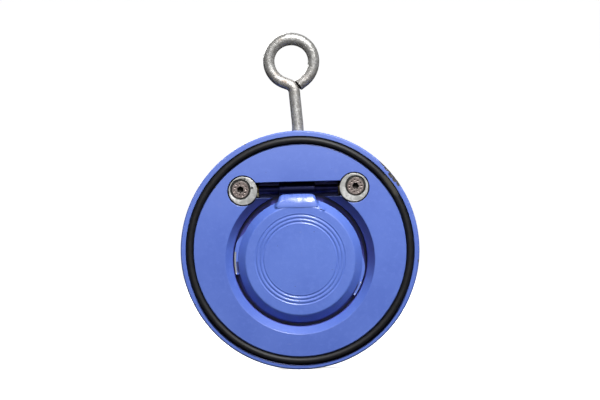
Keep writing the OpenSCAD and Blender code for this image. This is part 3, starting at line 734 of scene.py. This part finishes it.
M_BODY = enamel("body_enamel", BLUE, BLUE_LIGHT, BLUE_DEEP, body_marks)
M_FLAP = enamel("flap_enamel", (0.102, 0.184, 0.615), (0.130, 0.218, 0.665), (0.086, 0.160, 0.570), flap_marks, 1.3)
M_RUBBER = rubber("nitrile", True)
M_RUBBER_PLAIN = rubber("nitrile_plain")
M_DISC_L = bright_steel("disc_steel_left", DISC_L, SCREW_L)
M_DISC_R = bright_steel("disc_steel_right", DISC_R, SCREW_R)
M_SCREW_L = stainless("screw_steel_left", SCREW_L)
M_SCREW_R = stainless("screw_steel_right", SCREW_R)
M_EYE = bar_steel("eye_steel")
M_BUSH = bronze("bush_bronze")
M_PIN = pin_steel("pin_steel")


# ------------------------------------------------------------------- body ring
def edge_loss(a):
    """How deep the knocks on the outer front edge are at angle a, in mm."""
    d = 0.0
    for at, wide, deep in ((41.8, 1.1, 1.05), (38.1, 1.3, 1.25), (35.3, 1.2, 1.2), (32.6, 0.9, 0.6),
                           (116.2, 0.5, 0.5), (-79.9, 0.5, 0.5), (-154.0, 0.5, 0.35), (-6.8, 0.6, 0.3)):
        x = (deg(a) - at + 180) % 360 - 180
        if abs(x) < wide * 2.5:
            d = max(d, deep * math.exp(-((x / wide) ** 2)))
    return d


def body_ring():
    half = rounded([
        (0, 9), (GROOVE_R1, 9, 0.40), (GROOVE_R1, 5, 0.35), (GROOVE_R2, 5, 0.35), (GROOVE_R2, 9, 0.40),
        (BODY_R - 0.8, 9, 0.5), (BODY_R, 8.2, 0.5), (BODY_R, 0)], steps=5)
    # extra points by the outer edge for the knocks
    out = []
    for p, q in zip(half, half[1:] + [None]):
        out.append(p)
        if q and p[0] > 77.9 and math.hypot(q[0] - p[0], q[1] - p[1]) > 0.5:
            near_edge = [t for t in (0.25, 0.5, 0.7, 0.85, 0.93)] if p[1] > 8.9 else [0.03, 0.08, 0.15, 0.25, 0.4, 0.7]
            out += [(p[0] + (q[0] - p[0]) * t, p[1] + (q[1] - p[1]) * t) for t in near_edge]
    profile = out + [(r, -z) for r, z in reversed(out[:-1])]
    angles = []
    for i in range(480):
        angles.append(rad(i * 0.75))
        if 39 <= i < 64:
            angles += [rad(i * 0.75 + 0.15 * k) for k in (1, 2, 3, 4)]

    def mod(a, r, z, i, p):
        if z > 4 and 70.0 < r <= 78.05:
            return (p[0], p[1] - RING_DROP, z)
        if z > 4 and r > 78.0:
            d = edge_loss(a)
            if d > 0.01:
                wob = 0.75 + 0.5 * noise.noise(Vector((p[0], p[1], z)) * 1.1)
                inward = (81.0 - r) + (9.0 - z)          # distance from the corner
                k = d * wob * clamp(1 - inward / (1.9 * d + 0.2)) * 0.62
                f = clamp((81.0 - r) / 2.5)
                r2 = r - k * 0.55 * (1 - f)
                return (r2 * cos(a), r2 * sin(a), z - k * 0.75)
        return p

    o = lathe("body_ring", profile, angles, mod=mod)
    lip = rounded([(RECESS_R, 4), (RECESS_R + CHAMFER, 9, 0.9), (RECESS_R + CHAMFER + 9, 9)], steps=6)[1:-1]
    front = [(lip[-1][0], 10.5), (0, 10.5)]
    back = [(0, -10.5), (PORT_R + 0.5, -10.5), (PORT_R + 0.5, -9.0)] + \
        [(PORT_R + 0.5 - 0.5 * sin(rad(q)), -9.0 + 0.5 - 0.5 * cos(rad(q))) for q in (18, 36, 54, 72, 90)]
    seat = rounded([(PORT_R, -8), (PORT_R, SEAT_Z, 0.25), (RECESS_R, SEAT_Z, 0.5), (RECESS_R, 4, 0.9), lip[0]], steps=4)[1:-1]
    recess = lathe("c1", back + seat + lip + front, turned(480), (0, RECESS_Y))

    def box_loop(grow, z, corner):
        hx, hy = SLOT_L / 2 + grow, SLOT_H / 2 + grow
        pts = rounded([(-hx, -hy, corner), (hx, -hy, corner), (hx, hy, corner), (-hx, hy, corner)], True, 6)
        return [(x, y + HINGE_Y, z) for x, y in pts]

    floor = HALF_T - SLOT_D
    loops = [box_loop(-0.5, floor, 0.4), box_loop(-0.15, floor + 0.15, 0.7), box_loop(0, floor + 0.5, 0.9), box_loop(0, 8.6, 0.9)]
    loops += [box_loop(0.4 - 0.4 * cos(rad(q)), 8.6 + 0.4 * sin(rad(q)), 1.0) for q in (18, 36, 54, 72, 90)]
    loops += [box_loop(0.4, 10.5, 1.0)]
    slot = loft("c2", loops)
    cuts = [recess, slot]
    for side, (sx, sy) in ((-1, SCREW_L), (1, SCREW_R)):
        r = CBORE_D / 2
        prof = [(0, CBORE_Z), (r - 0.25, CBORE_Z), (r, CBORE_Z + 0.25), (r, 8.50)]
        prof += [(r + 0.50 - 0.50 * cos(rad(q)), 8.50 + 0.50 * sin(rad(q))) for q in (18, 36, 54, 72, 90)]
        prof += [(r + 0.50, 10.5), (0, 10.5)]
        cuts.append(lathe("c3", prof, turned(160), (DISC_L[0] - 0.1, DISC_L[1]) if side < 0 else DISC_R))
        cuts.append(lathe("c4", [(0, -6.4), (3.0, -4.8), (3.0, 4.7), (3.5, 5.2), (3.5, 5.6), (0, 5.6)], turned(48), (sx, sy)))
    hole = [(0, 59.8), (4.05, 62.0), (4.05, 80.0)] + [(4.05 + t, 80.0 + t * 2.2) for t in (0.15, 0.3, 0.6, 1.2)]
    eye = lathe("c5", hole + [(0, hole[-1][1])], turned(64))
    eye.data.transform(Matrix.Translation((EYE_X, 0, 0)) @ Matrix.Rotation(-pi / 2, 4, "X"))
    cuts.append(eye)
    boolean(o, cuts)
    return place(o, "body_ring_painted", "body", "body_ring", M_BODY)


# ------------------------------------------------------------------------ flap
def lug_half(y):
    """Half width of the lug at height y, seen from the front."""
    w = LUG_W / 2
    w += 2.4 * smooth(36.5, 28.5, y) if y < 36.5 else 0
    if y > LUG_TOP - 3.2:
        w += -3.2 + math.sqrt(max(0.0, 10.24 - (y - LUG_TOP + 3.2) ** 2))
    return w


def lug_right(y):
    """The same on the right, where the lug is a little narrower and flares less."""
    return lug_half(y) - 0.8 - (0.9 * smooth(36.5, 28.5, y) if y < 36.5 else 0)


def nose_z(y):
    if y < NOSE_C[0]:
        return FACE_Z - 0.04
    return NOSE_C[1] + math.sqrt(max(0.0, NOSE_R ** 2 - (y - NOSE_C[0]) ** 2)) - 0.04


def smax(a, b, k):
    h = max(k - abs(a - b), 0.0) / k
    return max(a, b) + h * h * k / 4


RUN = [(9.9, 32.0), (11.6, 31.0), (13.2, 29.9), (14.7, 28.6), (16.4, 27.4), (18.2, 25.9)]


def paint_run(x, y):
    """A run of paint beside the lug: a low wavering ridge with a hollow in it."""
    best, at = 9.0, 0.0
    for k in range(len(RUN) - 1):
        (ax, ay), (bx, by) = RUN[k], RUN[k + 1]
        dx, dy = bx - ax, by - ay
        t = clamp(((x - ax) * dx + (y - ay) * dy) / (dx * dx + dy * dy))
        d = math.hypot(x - ax - t * dx, y - ay - t * dy)
        if d < best:
            best, at = d, (k + t) / (len(RUN) - 1)
    if best > 2.6:
        return 0.0
    swell = 0.75 + 0.45 * sin(at * 17.0) * (0.4 + 0.6 * at)
    z = 1.0 * swell * math.exp(-((best / 0.74) ** 2)) * smooth(0, 0.12, at) * smooth(1.0, 0.86, at)
    return z - 0.60 * math.exp(-(((x - 14.9) ** 2 + (y - 27.1) ** 2) / 0.32))


def flap():
    back = [(0, BACK_Z), (30.0, BACK_Z)] + rounded(
        [(30.0, BACK_Z), (FLAP_R - 0.6, BACK_Z, 0.3), (FLAP_R, BACK_Z + 0.6, 0.3), (FLAP_R, -2.78)], steps=3)[1:]
    pads = [(FLAP_R, z) for z in (-2.64, -2.5, -1.5, 0.0, 0.86, 1.06)]
    rim = [(FLAP_R, 1.16), (FLAP_R, 1.4)]
    cone = rounded([(FLAP_R, 1.4), (FLAP_R, FLANK_Z, 0.7), (FACE_R, FACE_Z, 1.7), (32.0, FACE_Z)], steps=8)[1:]
    cone = filled(cone, 0.42)
    rings = []
    r = 32.0
    while r > 22.0:
        rings.append((r, FACE_Z))
        r -= 0.17
    inner = [(22.0, FACE_Z), (15.0, FACE_Z), (7.0, FACE_Z), (0, FACE_Z)]
    profile = back + pads + rim + cone + rings + inner
    pad_ids = range(len(back), len(back) + len(pads))

    def groove_z(q):
        """Depth of the three turned rings, each a rounded groove with a slightly raised lip."""
        z = 0.0
        for c in (30.2, 27.7, 25.3):
            d = abs(q - c)
            if d < 0.92:
                z -= 0.17 * (1 + cos(pi * d / 0.92))
            z += 0.03 * math.exp(-(((d - 1.05) / 0.28) ** 2))
        return z

    def mod(a, r, z, i, p):
        x, y, z = p
        if i in pad_ids:
            d = deg(a) % 360
            k, grow = 0.0, 0.0
            if 164 <= d <= 191.5:
                k = 2.8
            elif 151 <= d < 164:
                k = 2.8 * smooth(151, 164, d)
            elif d >= 325.5 or d <= 6:
                e = d - 360 if d > 180 else d
                k = 2.2 if e <= -9.5 else 2.2 * smooth(6, -9.5, e)
            edge = 0.16 if i in (pad_ids[0], pad_ids[-1]) else 0.0
            q = FLAP_R + max(0.0, k - edge * (k > 0.2))
            return (q * cos(a), FLAP_Y + q * sin(a), z)
        if i >= len(back) + len(pads) + 1 or r < 32.5:
            if z > 1.3:
                # the rings are turned about a centre 0.7 higher than the rim's
                w = 0.7 * smooth(36.5, 31.8, r)
                y += w
                z += groove_z(r) if r < 32.2 else 0.0
                z += paint_run(x, y) if (x > 7 and y > 23) else 0.0
                if y > 27.0 and abs(x - LUG_X) < 17:
                    side = LUG_X - x - lug_half(y) if x < LUG_X else x - LUG_X - lug_right(y)
                    top = nose_z(y) if y > NOSE_C[0] else FACE_Z - (NOSE_C[0] - y) * 0.8
                    top -= 0.9 * max(0.0, 1 + side / 1.5) ** 2 if side < 0 else 0.9 + 3.2 * side
                    k = 0.25 + 1.5 * smooth(0.1, 1.2, FACE_Z - z)
                    z = smax(z, top, k)
        return (x, y, z)

    disc = lathe("flap", profile, turned(640), (0, FLAP_Y), mod)

    # boss: stations up the lug, each a section with rounded shoulders
    def section(y, z_top, z_bot, half):
        rs = min(2.3, (z_top - z_bot) * 0.45)
        wide = half + (lug_right(y) if y < LUG_TOP - 0.05 else lug_right(LUG_TOP - 0.05)) - 2 * rs
        loop = [(LUG_X - half, y, z_bot)]
        loop += [(LUG_X - half + rs - rs * cos(q), y, z_top - 0.9 * rs + 0.9 * rs * sin(q)) for q in [rad(t) for t in range(0, 91, 10)]]
        for k in range(1, 24):
            x = LUG_X - half + rs + wide * k / 24
            z = 0.10 * noise.noise(Vector((x * 0.24, y * 0.34, 5.3))) + 0.05 * noise.noise(Vector((x * 0.75, y * 0.8, 1.9)))
            crown = 0.0032 * ((x - LUG_X) ** 2 - (half - rs) ** 2)
            loop.append((x, y, z_top - 0.02 + z * smooth(0, 2, k) * smooth(24, 22, k) - crown * 0.85))
        right = LUG_X - half + 2 * rs + wide
        loop += [(right - rs + rs * cos(q), y, z_top - 0.9 * rs + 0.9 * rs * sin(q)) for q in [rad(t) for t in range(90, -1, -10)]]
        loop += [(right, y, z_bot)]
        return loop

    loops = []
    y = 28.9
    while y < LUG_TOP - 0.42:
        loops.append(section(y, nose_z(y) - 0.02, -3.3 if y < 34.3 else -3.3 - (y - 34.3) * 0.1, lug_half(y)))
        y += 0.3
    for y, drop in ((LUG_TOP - 0.40, 0.02), (LUG_TOP - 0.22, 0.10), (LUG_TOP - 0.08, 0.28), (LUG_TOP, 0.60)):
        loops.append(section(y, nose_z(y) - 0.02 - drop, -3.7, lug_half(min(y, LUG_TOP - 0.05))))
    boss = loft("boss", loops)
    xa, xb = LUG_X - LUG_W / 2 + 0.4, LUG_X + LUG_W / 2 - 1.1
    side = rounded([(24.0, -3.35), (FLAP_Y + FLAP_R - 1, -3.35), (HINGE_Y, -4.1), (HINGE_Y, 3.0), (LUG_TOP - 1, 3.55, 0.6), (24.0, 3.55)], True, 3)
    cx = (sum(p[0] for p in side) / len(side), sum(p[1] for p in side) / len(side))
    arm = loft("arm", [[(x, cx[0] + (py - cx[0]) * s, cx[1] + (pz - cx[1]) * s) for py, pz in side]
                       for x, s in ((xa, 0.955), (xa + 0.15, 0.985), (xa + 0.4, 1.0), (xb - 0.4, 1.0), (xb - 0.15, 0.985), (xb, 0.955))])
    kn = [(0, xa)] + rounded([(0, xa), (KNUCKLE_D / 2, xa, 0.5), (KNUCKLE_D / 2, xb, 0.5), (0, xb)], steps=4)[1:-1] + [(0, xb)]
    knuckle = turn_to_x(lathe("knuckle", kn, turned(96)), (0, HINGE_Y, 0))
    boolean(disc, [boss, arm, knuckle], "UNION")
    g1, g2, top = SEAT_RING_R - 2.2, SEAT_RING_R + 2.2, 0.15
    groove = rounded([(g1 - 0.3, -5), (g1 - 0.3, -3.5), (g1, -3.2), (g1, top, 0.5), (g2, top, 0.5), (g2, -3.2), (g2 + 0.3, -3.5), (g2 + 0.3, -5)], True, 4)
    cut = lathe("c6", groove, turned(360), (0, FLAP_Y), closed=True)
    bore = turn_to_x(lathe("c7", [(0, -30), (PIN_D / 2 + 0.01, -30), (PIN_D / 2 + 0.01, 30), (0, 30)], turned(72)), (0, HINGE_Y, 0))
    boolean(disc, [cut, bore])
    return place(disc, "flap_painted", "flap", "flap", M_FLAP, 38)


# ------------------------------------------------------------ pin, bushes, rings
def hinge_pin():
    h, r = PIN_L / 2, PIN_D / 2
    prof = [(0, -h)] + rounded([(0, -h), (r - 0.5, -h, 0.15), (r, -h + 0.5, 0.2), (r, h - 0.5, 0.2), (r - 0.5, h, 0.15), (0, h)], steps=3)[1:-1] + [(0, h)]
    o = turn_to_x(lathe("pin", prof, turned(96)), (0, HINGE_Y, 0))
    return place(o, "hinge_pin_ground", "flap", "hinge_pin", M_PIN)


def pin_bush(side):
    h, r1, r2 = BUSH_L / 2, BUSH_BORE, BUSH_D / 2
    prof = rounded([(r1, -h, 0.12), (r2 - 0.3, -h, 0.12), (r2, -h + 0.3, 0.15), (r2, h - 0.3, 0.15), (r2 - 0.3, h, 0.12), (r1, h, 0.12)], True, 3)
    x = side * (SLOT_L / 2 - 0.4 - h)
    o = turn_to_x(lathe("bush", prof, turned(96), closed=True), (x, HINGE_Y, 0))
    name = "left" if side < 0 else "right"
    return place(o, "pin_bush_%s_turned" % name, "body", "pin_bush_" + name, M_BUSH)


def o_ring(name, node, body, centre, z, r, d, mat, seed, n=600):
    """A moulded ring: slightly uneven, with a fine parting line around it."""
    verts, faces, k = [], [], 36
    for i in range(n):
        a = 2 * pi * i / n
        c = Vector((cos(a) * 3.0, sin(a) * 3.0, seed * 9.1))
        rr = r + 0.07 * noise.noise(c)
        for j in range(k):
            b = 2 * pi * j / k
            q = d / 2 - 0.03 - 0.03 * abs(noise.noise(c * 2.7 + Vector((0, 0, j * 0.1))))
            if j in (0, k // 2):
                q += 0.03
            verts.append((centre[0] + (rr + q * cos(b)) * cos(a), centre[1] + (rr + q * cos(b)) * sin(a), z + q * sin(b)))
    for i in range(n):
        for j in range(k):
            faces.append((i * k + j, i * k + (j + 1) % k, (i + 1) % n * k + (j + 1) % k, (i + 1) % n * k + j))
    o = mesh_object(name, verts, faces)
    return place(o, name, body, node, mat, 60)


# ------------------------------------------------------------------- retainers
def retainer_disc(side, screw, mat, nicks):
    r, top = DISC_D / 2, CBORE_Z + DISC_T
    cx, cy = DISC_L if side < 0 else DISC_R
    prof = [(0, CBORE_Z)] + rounded([(0, CBORE_Z), (r - 0.2, CBORE_Z, 0.08), (r, CBORE_Z + 0.2, 0.1), (r, top - 0.3, 0.25),
                                     (r - 0.3, top, 0.25), (0, top)], steps=4)[1:-1] + [(0, top)]
    o = lathe("disc", prof, turned(240), (cx, cy))
    c = HEAD_R + 0.6
    hole = [(0, 4), (3.15, 4), (3.15, top - c + 3.15), (c - 0.12, top - 0.12), (c + 0.02, top - 0.02), (c + 0.12, top), (c + 0.12, top + 1), (0, top + 1)]
    cuts = [lathe("c8", hole, turned(160), screw)]
    # the hole's mouth is worn wider towards the top
    mouth = [(0, top - 0.42), (6.50, top - 0.42), (6.86, top - 0.12), (6.95, top - 0.03), (7.05, top + 0.02), (7.05, top + 1), (0, top + 1)]
    cuts.append(lathe("c10", mouth, turned(160), (screw[0], screw[1] + (0.25 if side < 0 else 0.35))))
    # staking nicks struck beside the screw
    for a, dist, size, depth, turn in nicks:
        x, y = screw[0] + dist * cos(rad(a)), screw[1] + dist * sin(rad(a))
        pts = [(1.0, 0.0), (-0.55, 0.62), (-0.8, 0.0), (-0.55, -0.62)]
        loops = []
        for s, z in ((0.08, -depth), (1.0, 0.0), (1.5, 0.5)):
            loop = []
            for px, py in pts:
                q = rad(turn)
                loop.append((x + size * s * (px * cos(q) - py * sin(q)), y + size * s * (px * sin(q) + py * cos(q)), top + z))
            loops.append(loop)
        cuts.append(loft("c9", loops))
    boolean(o, cuts)
    name = "left" if side < 0 else "right"
    return place(o, "retainer_disc_%s_turned" % name, "body", "retainer_disc_" + name, mat)


def retainer_screw(side, centre, turn, mat, seed):
    """Countersunk hexagon socket screw with a ring of plain punched dimples."""
    rnd = random.Random(seed)
    n, top = 216, SCREW_TOP
    start = rad(turn)
    ring = [(0.0, top - 3.0, 0.0), (1.2, top - 2.6, 0.0), (1.8, top - 2.4, 0.0)]
    hexes = [(2.0, top - 2.4), (2.0, top - 1.2), (2.0, top - 0.24), (2.03, top - 0.16), (2.14, top - 0.03)]
    flat = [2.26 + 0.168 * k for k in range(20)]
    profile = [(r, z) for r, z, _ in ring] + hexes + [(r, top) for r in flat] + \
        [(5.62, top), (HEAD_R - 0.13, top - 0.03), (HEAD_R - 0.03, top - 0.12), (HEAD_R, top - 0.25)]
    neck = top - 0.25 - (HEAD_R - THREAD_R)
    profile += [(THREAD_R + 0.05, neck + 0.05), (THREAD_R - 0.1, neck - 0.15)]
    head_n = len(profile)
    rows = 82
    for k in range(rows):
        profile.append((THREAD_R, neck - 0.2 - k * 0.095))
    end = neck - 0.2 - rows * 0.095
    profile += [(THREAD_R - 0.7, end - 0.1), (0, end - 0.15)]
    dimples = []
    for k in range(11):
        a = start + 2 * pi * k / 11 + rnd.uniform(-0.06, 0.06)
        dimples.append((a, 3.95 + rnd.uniform(-0.35, 0.35), rnd.uniform(0.36, 0.54), rnd.uniform(0.24, 0.34), rnd.uniform(-0.8, 0.8), rnd.uniform(0.22, 0.32)))

    def mod(a, r, z, i, p):
        cx, cy = centre
        if 3 <= i < 8:                                   # the socket's walls
            rr = r / cos(pi / 6) * cos(pi / 6) / cos(((a - start) % (pi / 3)) - pi / 6)
            return (cx + rr * cos(a), cy + rr * sin(a), z)
        if 8 <= i < 8 + len(flat):                       # from hexagon to round, with dimples
            t = smooth(2.18, 3.6, r)
            hx = r / cos(((a - start) % (pi / 3)) - pi / 6)
            rr = hx + (r - hx) * t if r < 3.6 else r
            x, y = rr * cos(a), rr * sin(a)
            for da, dr, w, h, tw, deep in dimples:
                ux, uy = x - dr * cos(da), y - dr * sin(da)
                if abs(ux) + abs(uy) < 1.6:
                    c, s = cos(da + tw), sin(da + tw)
                    u, v = ux * c + uy * s, -ux * s + uy * c
                    z -= deep * math.exp(-((u / w) ** 2) - ((v / h) ** 2))
            return (cx + x, cy + y, z)
        if i >= head_n and i < head_n + rows:            # helical thread
            k = (i - head_n) / rows
            ph = (z + a / (2 * pi)) % 1.0
            tooth = abs(ph * 2 - 1)
            fade = smooth(0, 0.05, k) * smooth(1.0, 0.93, k)
            rr = THREAD_R - 0.06 - 0.56 * clamp(tooth * 1.3 - 0.15) * fade - 0.25 * (1 - fade)
            return (cx + rr * cos(a), cy + rr * sin(a), z)
        return p

    o = lathe("screw", profile, turned(n, start), centre, mod)
    name = "left" if side < 0 else "right"
    return place(o, "retainer_screw_%s_socket" % name, "body", "retainer_screw_" + name, mat, 35)


# ----------------------------------------------------------------- lifting eye
def lifting_eye():
    path = eye_path()
    k = 56
    verts, faces = [], []
    end = path[-1][3]
    rows = [(p, 1.0, 0.0) for p in path]
    # a square-cut tail end, slightly burred, and the thread's flat end
    last = path[-1]
    ends = [(0.985, 0.06), (0.94, 0.10), (0.6, 0.12), (0.25, 0.10)]
    for x, y, a, s in path:
        t = Vector((cos(rad(a)), sin(rad(a)), 0))
        nrm = Vector((-t.y, t.x, 0))
        for j in range(k):
            b = 2 * pi * j / k
            q = nrm * cos(b) + Vector((0, 0, 1)) * sin(b)
            r = BAR_R
            if s < 16.4:                                # M8 thread, helical
                ph = (s / 1.25 - b / (2 * pi)) % 1.0
                tooth = abs(ph * 2 - 1)
                fade = smooth(0.0, 1.2, s) * smooth(16.4, 15.2, s)
                r = BAR_R - 0.05 - 0.66 * clamp(tooth * 1.25 - 0.12) * fade - 0.45 * (1 - smooth(0.0, 0.8, s))
            p = Vector((x, y, 0)) + q * r
            if s > 17.0:
                g = noise.noise(p * 0.22) * 0.5 + 0.5
                h = noise.noise(p * 0.62 + Vector((9, 2, 4))) * 0.5 + 0.5
                f = noise.noise(p * 1.7 + Vector((3, 8, 1))) * 0.5 + 0.5
                w = smooth(17.0, 22.0, s)
                r -= w * (0.10 * g + 0.11 * h * h + 0.035 * f)
                if end - s < 0.5:
                    r -= 0.22 * (1 - (end - s) / 0.5) ** 2
                # the bar is upset on the inside of the bend at the ring's top
                if end - s < 70:
                    up = math.atan2(y - EYE_C[1], x - EYE_C[0])
                    r += 0.75 * max(0.0, -cos(b)) ** 1.5 * max(0.0, sin(up)) ** 2
                p = Vector((x, y, 0)) + q * r
                if end - s < 2.6:                       # sheared at a slant, front edge set back
                    p -= t * (TAIL_SKEW * p.z * (1 - (end - s) / 2.6))
            verts.append(tuple(p))
    m = len(path)
    for i in range(m - 1):
        for j in range(k):
            j2 = (j + 1) % k
            faces.append((i * k + j, i * k + j2, (i + 1) * k + j2, (i + 1) * k + j))
    # tail end face, slightly hollow with a shear mark
    x, y, a, s = last
    t = Vector((cos(rad(a)), sin(rad(a)), 0))
    nrm = Vector((-t.y, t.x, 0))
    prev = (m - 1) * k
    for f, out in ((0.90, 0.02), (0.55, -0.10), (0.2, -0.16)):
        base = len(verts)
        for j in range(k):
            b = 2 * pi * j / k
            q = nrm * cos(b) + Vector((0, 0, 1)) * sin(b)
            p = Vector((x, y, 0)) + q * (BAR_R - 0.32) * f + t * (out + 0.05 * noise.noise(q * f * 3))
            p -= t * (TAIL_SKEW * p.z)
            verts.append(tuple(p))
        for j in range(k):
            j2 = (j + 1) % k
            faces.append((prev + j, prev + j2, base + j2, base + j))
        prev = base
    verts.append(tuple(Vector((x, y, 0)) - t * 0.16))
    faces += [(prev + j, prev + (j + 1) % k, len(verts) - 1) for j in range(k)]
    faces.append(tuple(range(k - 1, -1, -1)))
    o = mesh_object("eye", verts, faces)
    return place(o, "lifting_eye_bent_bar", "body", "lifting_eye", M_EYE, 40)


body_ring()
flap()
hinge_pin()
pin_bush(-1)
pin_bush(1)
o_ring("outlet_o_ring_moulded", "outlet_o_ring", "body", (0, -RING_DROP), RING_Z, RING_R, RING_D, M_RUBBER, 1)
o_ring("inlet_o_ring_moulded", "inlet_o_ring", "body", (0, 0), -RING_Z, RING_R, RING_D, M_RUBBER_PLAIN, 2)
o_ring("seat_o_ring_moulded", "seat_o_ring", "flap", (0, FLAP_Y), SEAT_RING_Z, SEAT_RING_R, SEAT_RING_D, M_RUBBER_PLAIN, 3, 420)
retainer_disc(-1, SCREW_L, M_DISC_L, [(66, 7.85, 1.0, 0.5, 160), (8, 8.0, 1.0, 0.6, 0)])
retainer_disc(1, SCREW_R, M_DISC_R, [(250, 7.6, 0.45, 0.25, 70)])
retainer_screw(-1, SCREW_L, 29, M_SCREW_L, 3)
retainer_screw(1, SCREW_R, -1, M_SCREW_R, 5)
lifting_eye()


# --------------------------------------------------------------------- the stage
def stage_material(name, emit):
    m = bpy.data.materials.new(name)
    m.use_nodes = True
    b = m.node_tree.nodes["Principled BSDF"]
    b.inputs["Base Color"].default_value = (0.86, 0.86, 0.86, 1)
    b.inputs["Roughness"].default_value = 0.9
    b.inputs["Specular IOR Level"].default_value = 0.0
    b.inputs["Emission Color"].default_value = (1, 1, 1, 1)
    b.inputs["Emission Strength"].default_value = emit
    return m


floor_z = cad_lo.z
prof = rounded([(0.0, 0.0), (2600.0, 0.0, 900.0), (2600.0, 3200.0, 900.0), (0.0, 3200.0)], steps=14)
room = lathe("backdrop", prof, turned(96))
room.data.transform(Matrix.Translation((0, 0, floor_z)) @ Matrix.Scale(0.001, 4))
room.data.flip_normals()
for p in room.data.polygons:
    p.use_smooth = True
room.data.materials.append(stage_material("backdrop_white", 0.80))
for flag in ("visible_diffuse", "visible_glossy", "visible_transmission", "visible_shadow"):
    setattr(room, flag, False)

world = bpy.data.worlds.new("studio")
bpy.context.scene.world = world
world.use_nodes = True
wt = world.node_tree
wt.nodes.clear()
wo = wt.nodes.new("ShaderNodeOutputWorld")
bg = wt.nodes.new("ShaderNodeBackground")
tc = wt.nodes.new("ShaderNodeTexCoord")
sp = wt.nodes.new("ShaderNodeSeparateXYZ")
ramp = wt.nodes.new("ShaderNodeValToRGB")
mr = wt.nodes.new("ShaderNodeMapRange")
mr.inputs["From Min"].default_value, mr.inputs["From Max"].default_value = -1.0, 1.0
wt.links.new(tc.outputs["Generated"], sp.inputs[0])
wt.links.new(sp.outputs["Z"], mr.inputs["Value"])
wt.links.new(mr.outputs[0], ramp.inputs[0])
wt.links.new(ramp.outputs[0], bg.inputs[0])
wt.links.new(bg.outputs[0], wo.inputs[0])
cr = ramp.color_ramp
cr.elements[0].position, cr.elements[0].color = 0.0, (0.03, 0.03, 0.033, 1)
cr.elements[1].position, cr.elements[1].color = 1.0, (0.30, 0.30, 0.31, 1)
for at, v in ((0.40, 0.038), (0.52, 0.07), (0.70, 0.14)):
    e = cr.elements.new(at)
    e.color = (v, v, v * 1.01, 1)
bg.inputs[1].default_value = 1.0


def area(name, at, aim, power, w, h, colour=(1, 1, 1)):
    d = bpy.data.lights.new(name, "AREA")
    d.shape, d.size, d.size_y, d.energy, d.color = "RECTANGLE", w, h, power, colour
    o = bpy.data.objects.new(name, d)
    bpy.context.scene.collection.objects.link(o)
    o.location = at
    o.rotation_mode = "QUATERNION"
    o.rotation_quaternion = (Vector(aim) - Vector(at)).to_track_quat("-Z", "Y")
    o.visible_camera = False
    return o


area("key", (0.17, -0.60, 0.67), (0, 0, 0), 12.3, 0.27, 0.30)
area("front_card", (0.05, -1.60, 0.46), (0, 0, 0.02), 3.0, 2.0, 0.75)
area("back_key", (-0.40, 0.95, 0.60), (0, 0, 0), 15.0, 0.7, 0.5)

# -------------------------------------------------------------------- the camera
DIST, VIEW_W, ROLL = 1.2, 0.40647, rad(1.5)
cam_data = bpy.data.cameras.new("camera")
cam_data.sensor_width = 36.0
cam_data.lens = 36.0 * DIST / VIEW_W
cam_data.clip_start, cam_data.clip_end = 0.05, 50.0
cam_data.dof.use_dof = False
camera = bpy.data.objects.new("camera", cam_data)
bpy.context.scene.collection.objects.link(camera)
c, s = cos(ROLL), sin(ROLL)
camera.matrix_world = Matrix(((c, s, 0, 0.00085), (0, 0, -1, -0.009 - DIST), (-s, c, 0, 0.0339), (0, 0, 0, 1)))
bpy.context.scene.camera = camera
bpy.context.scene.view_settings.view_transform = "Standard"
bpy.context.scene.view_settings.look = "None"
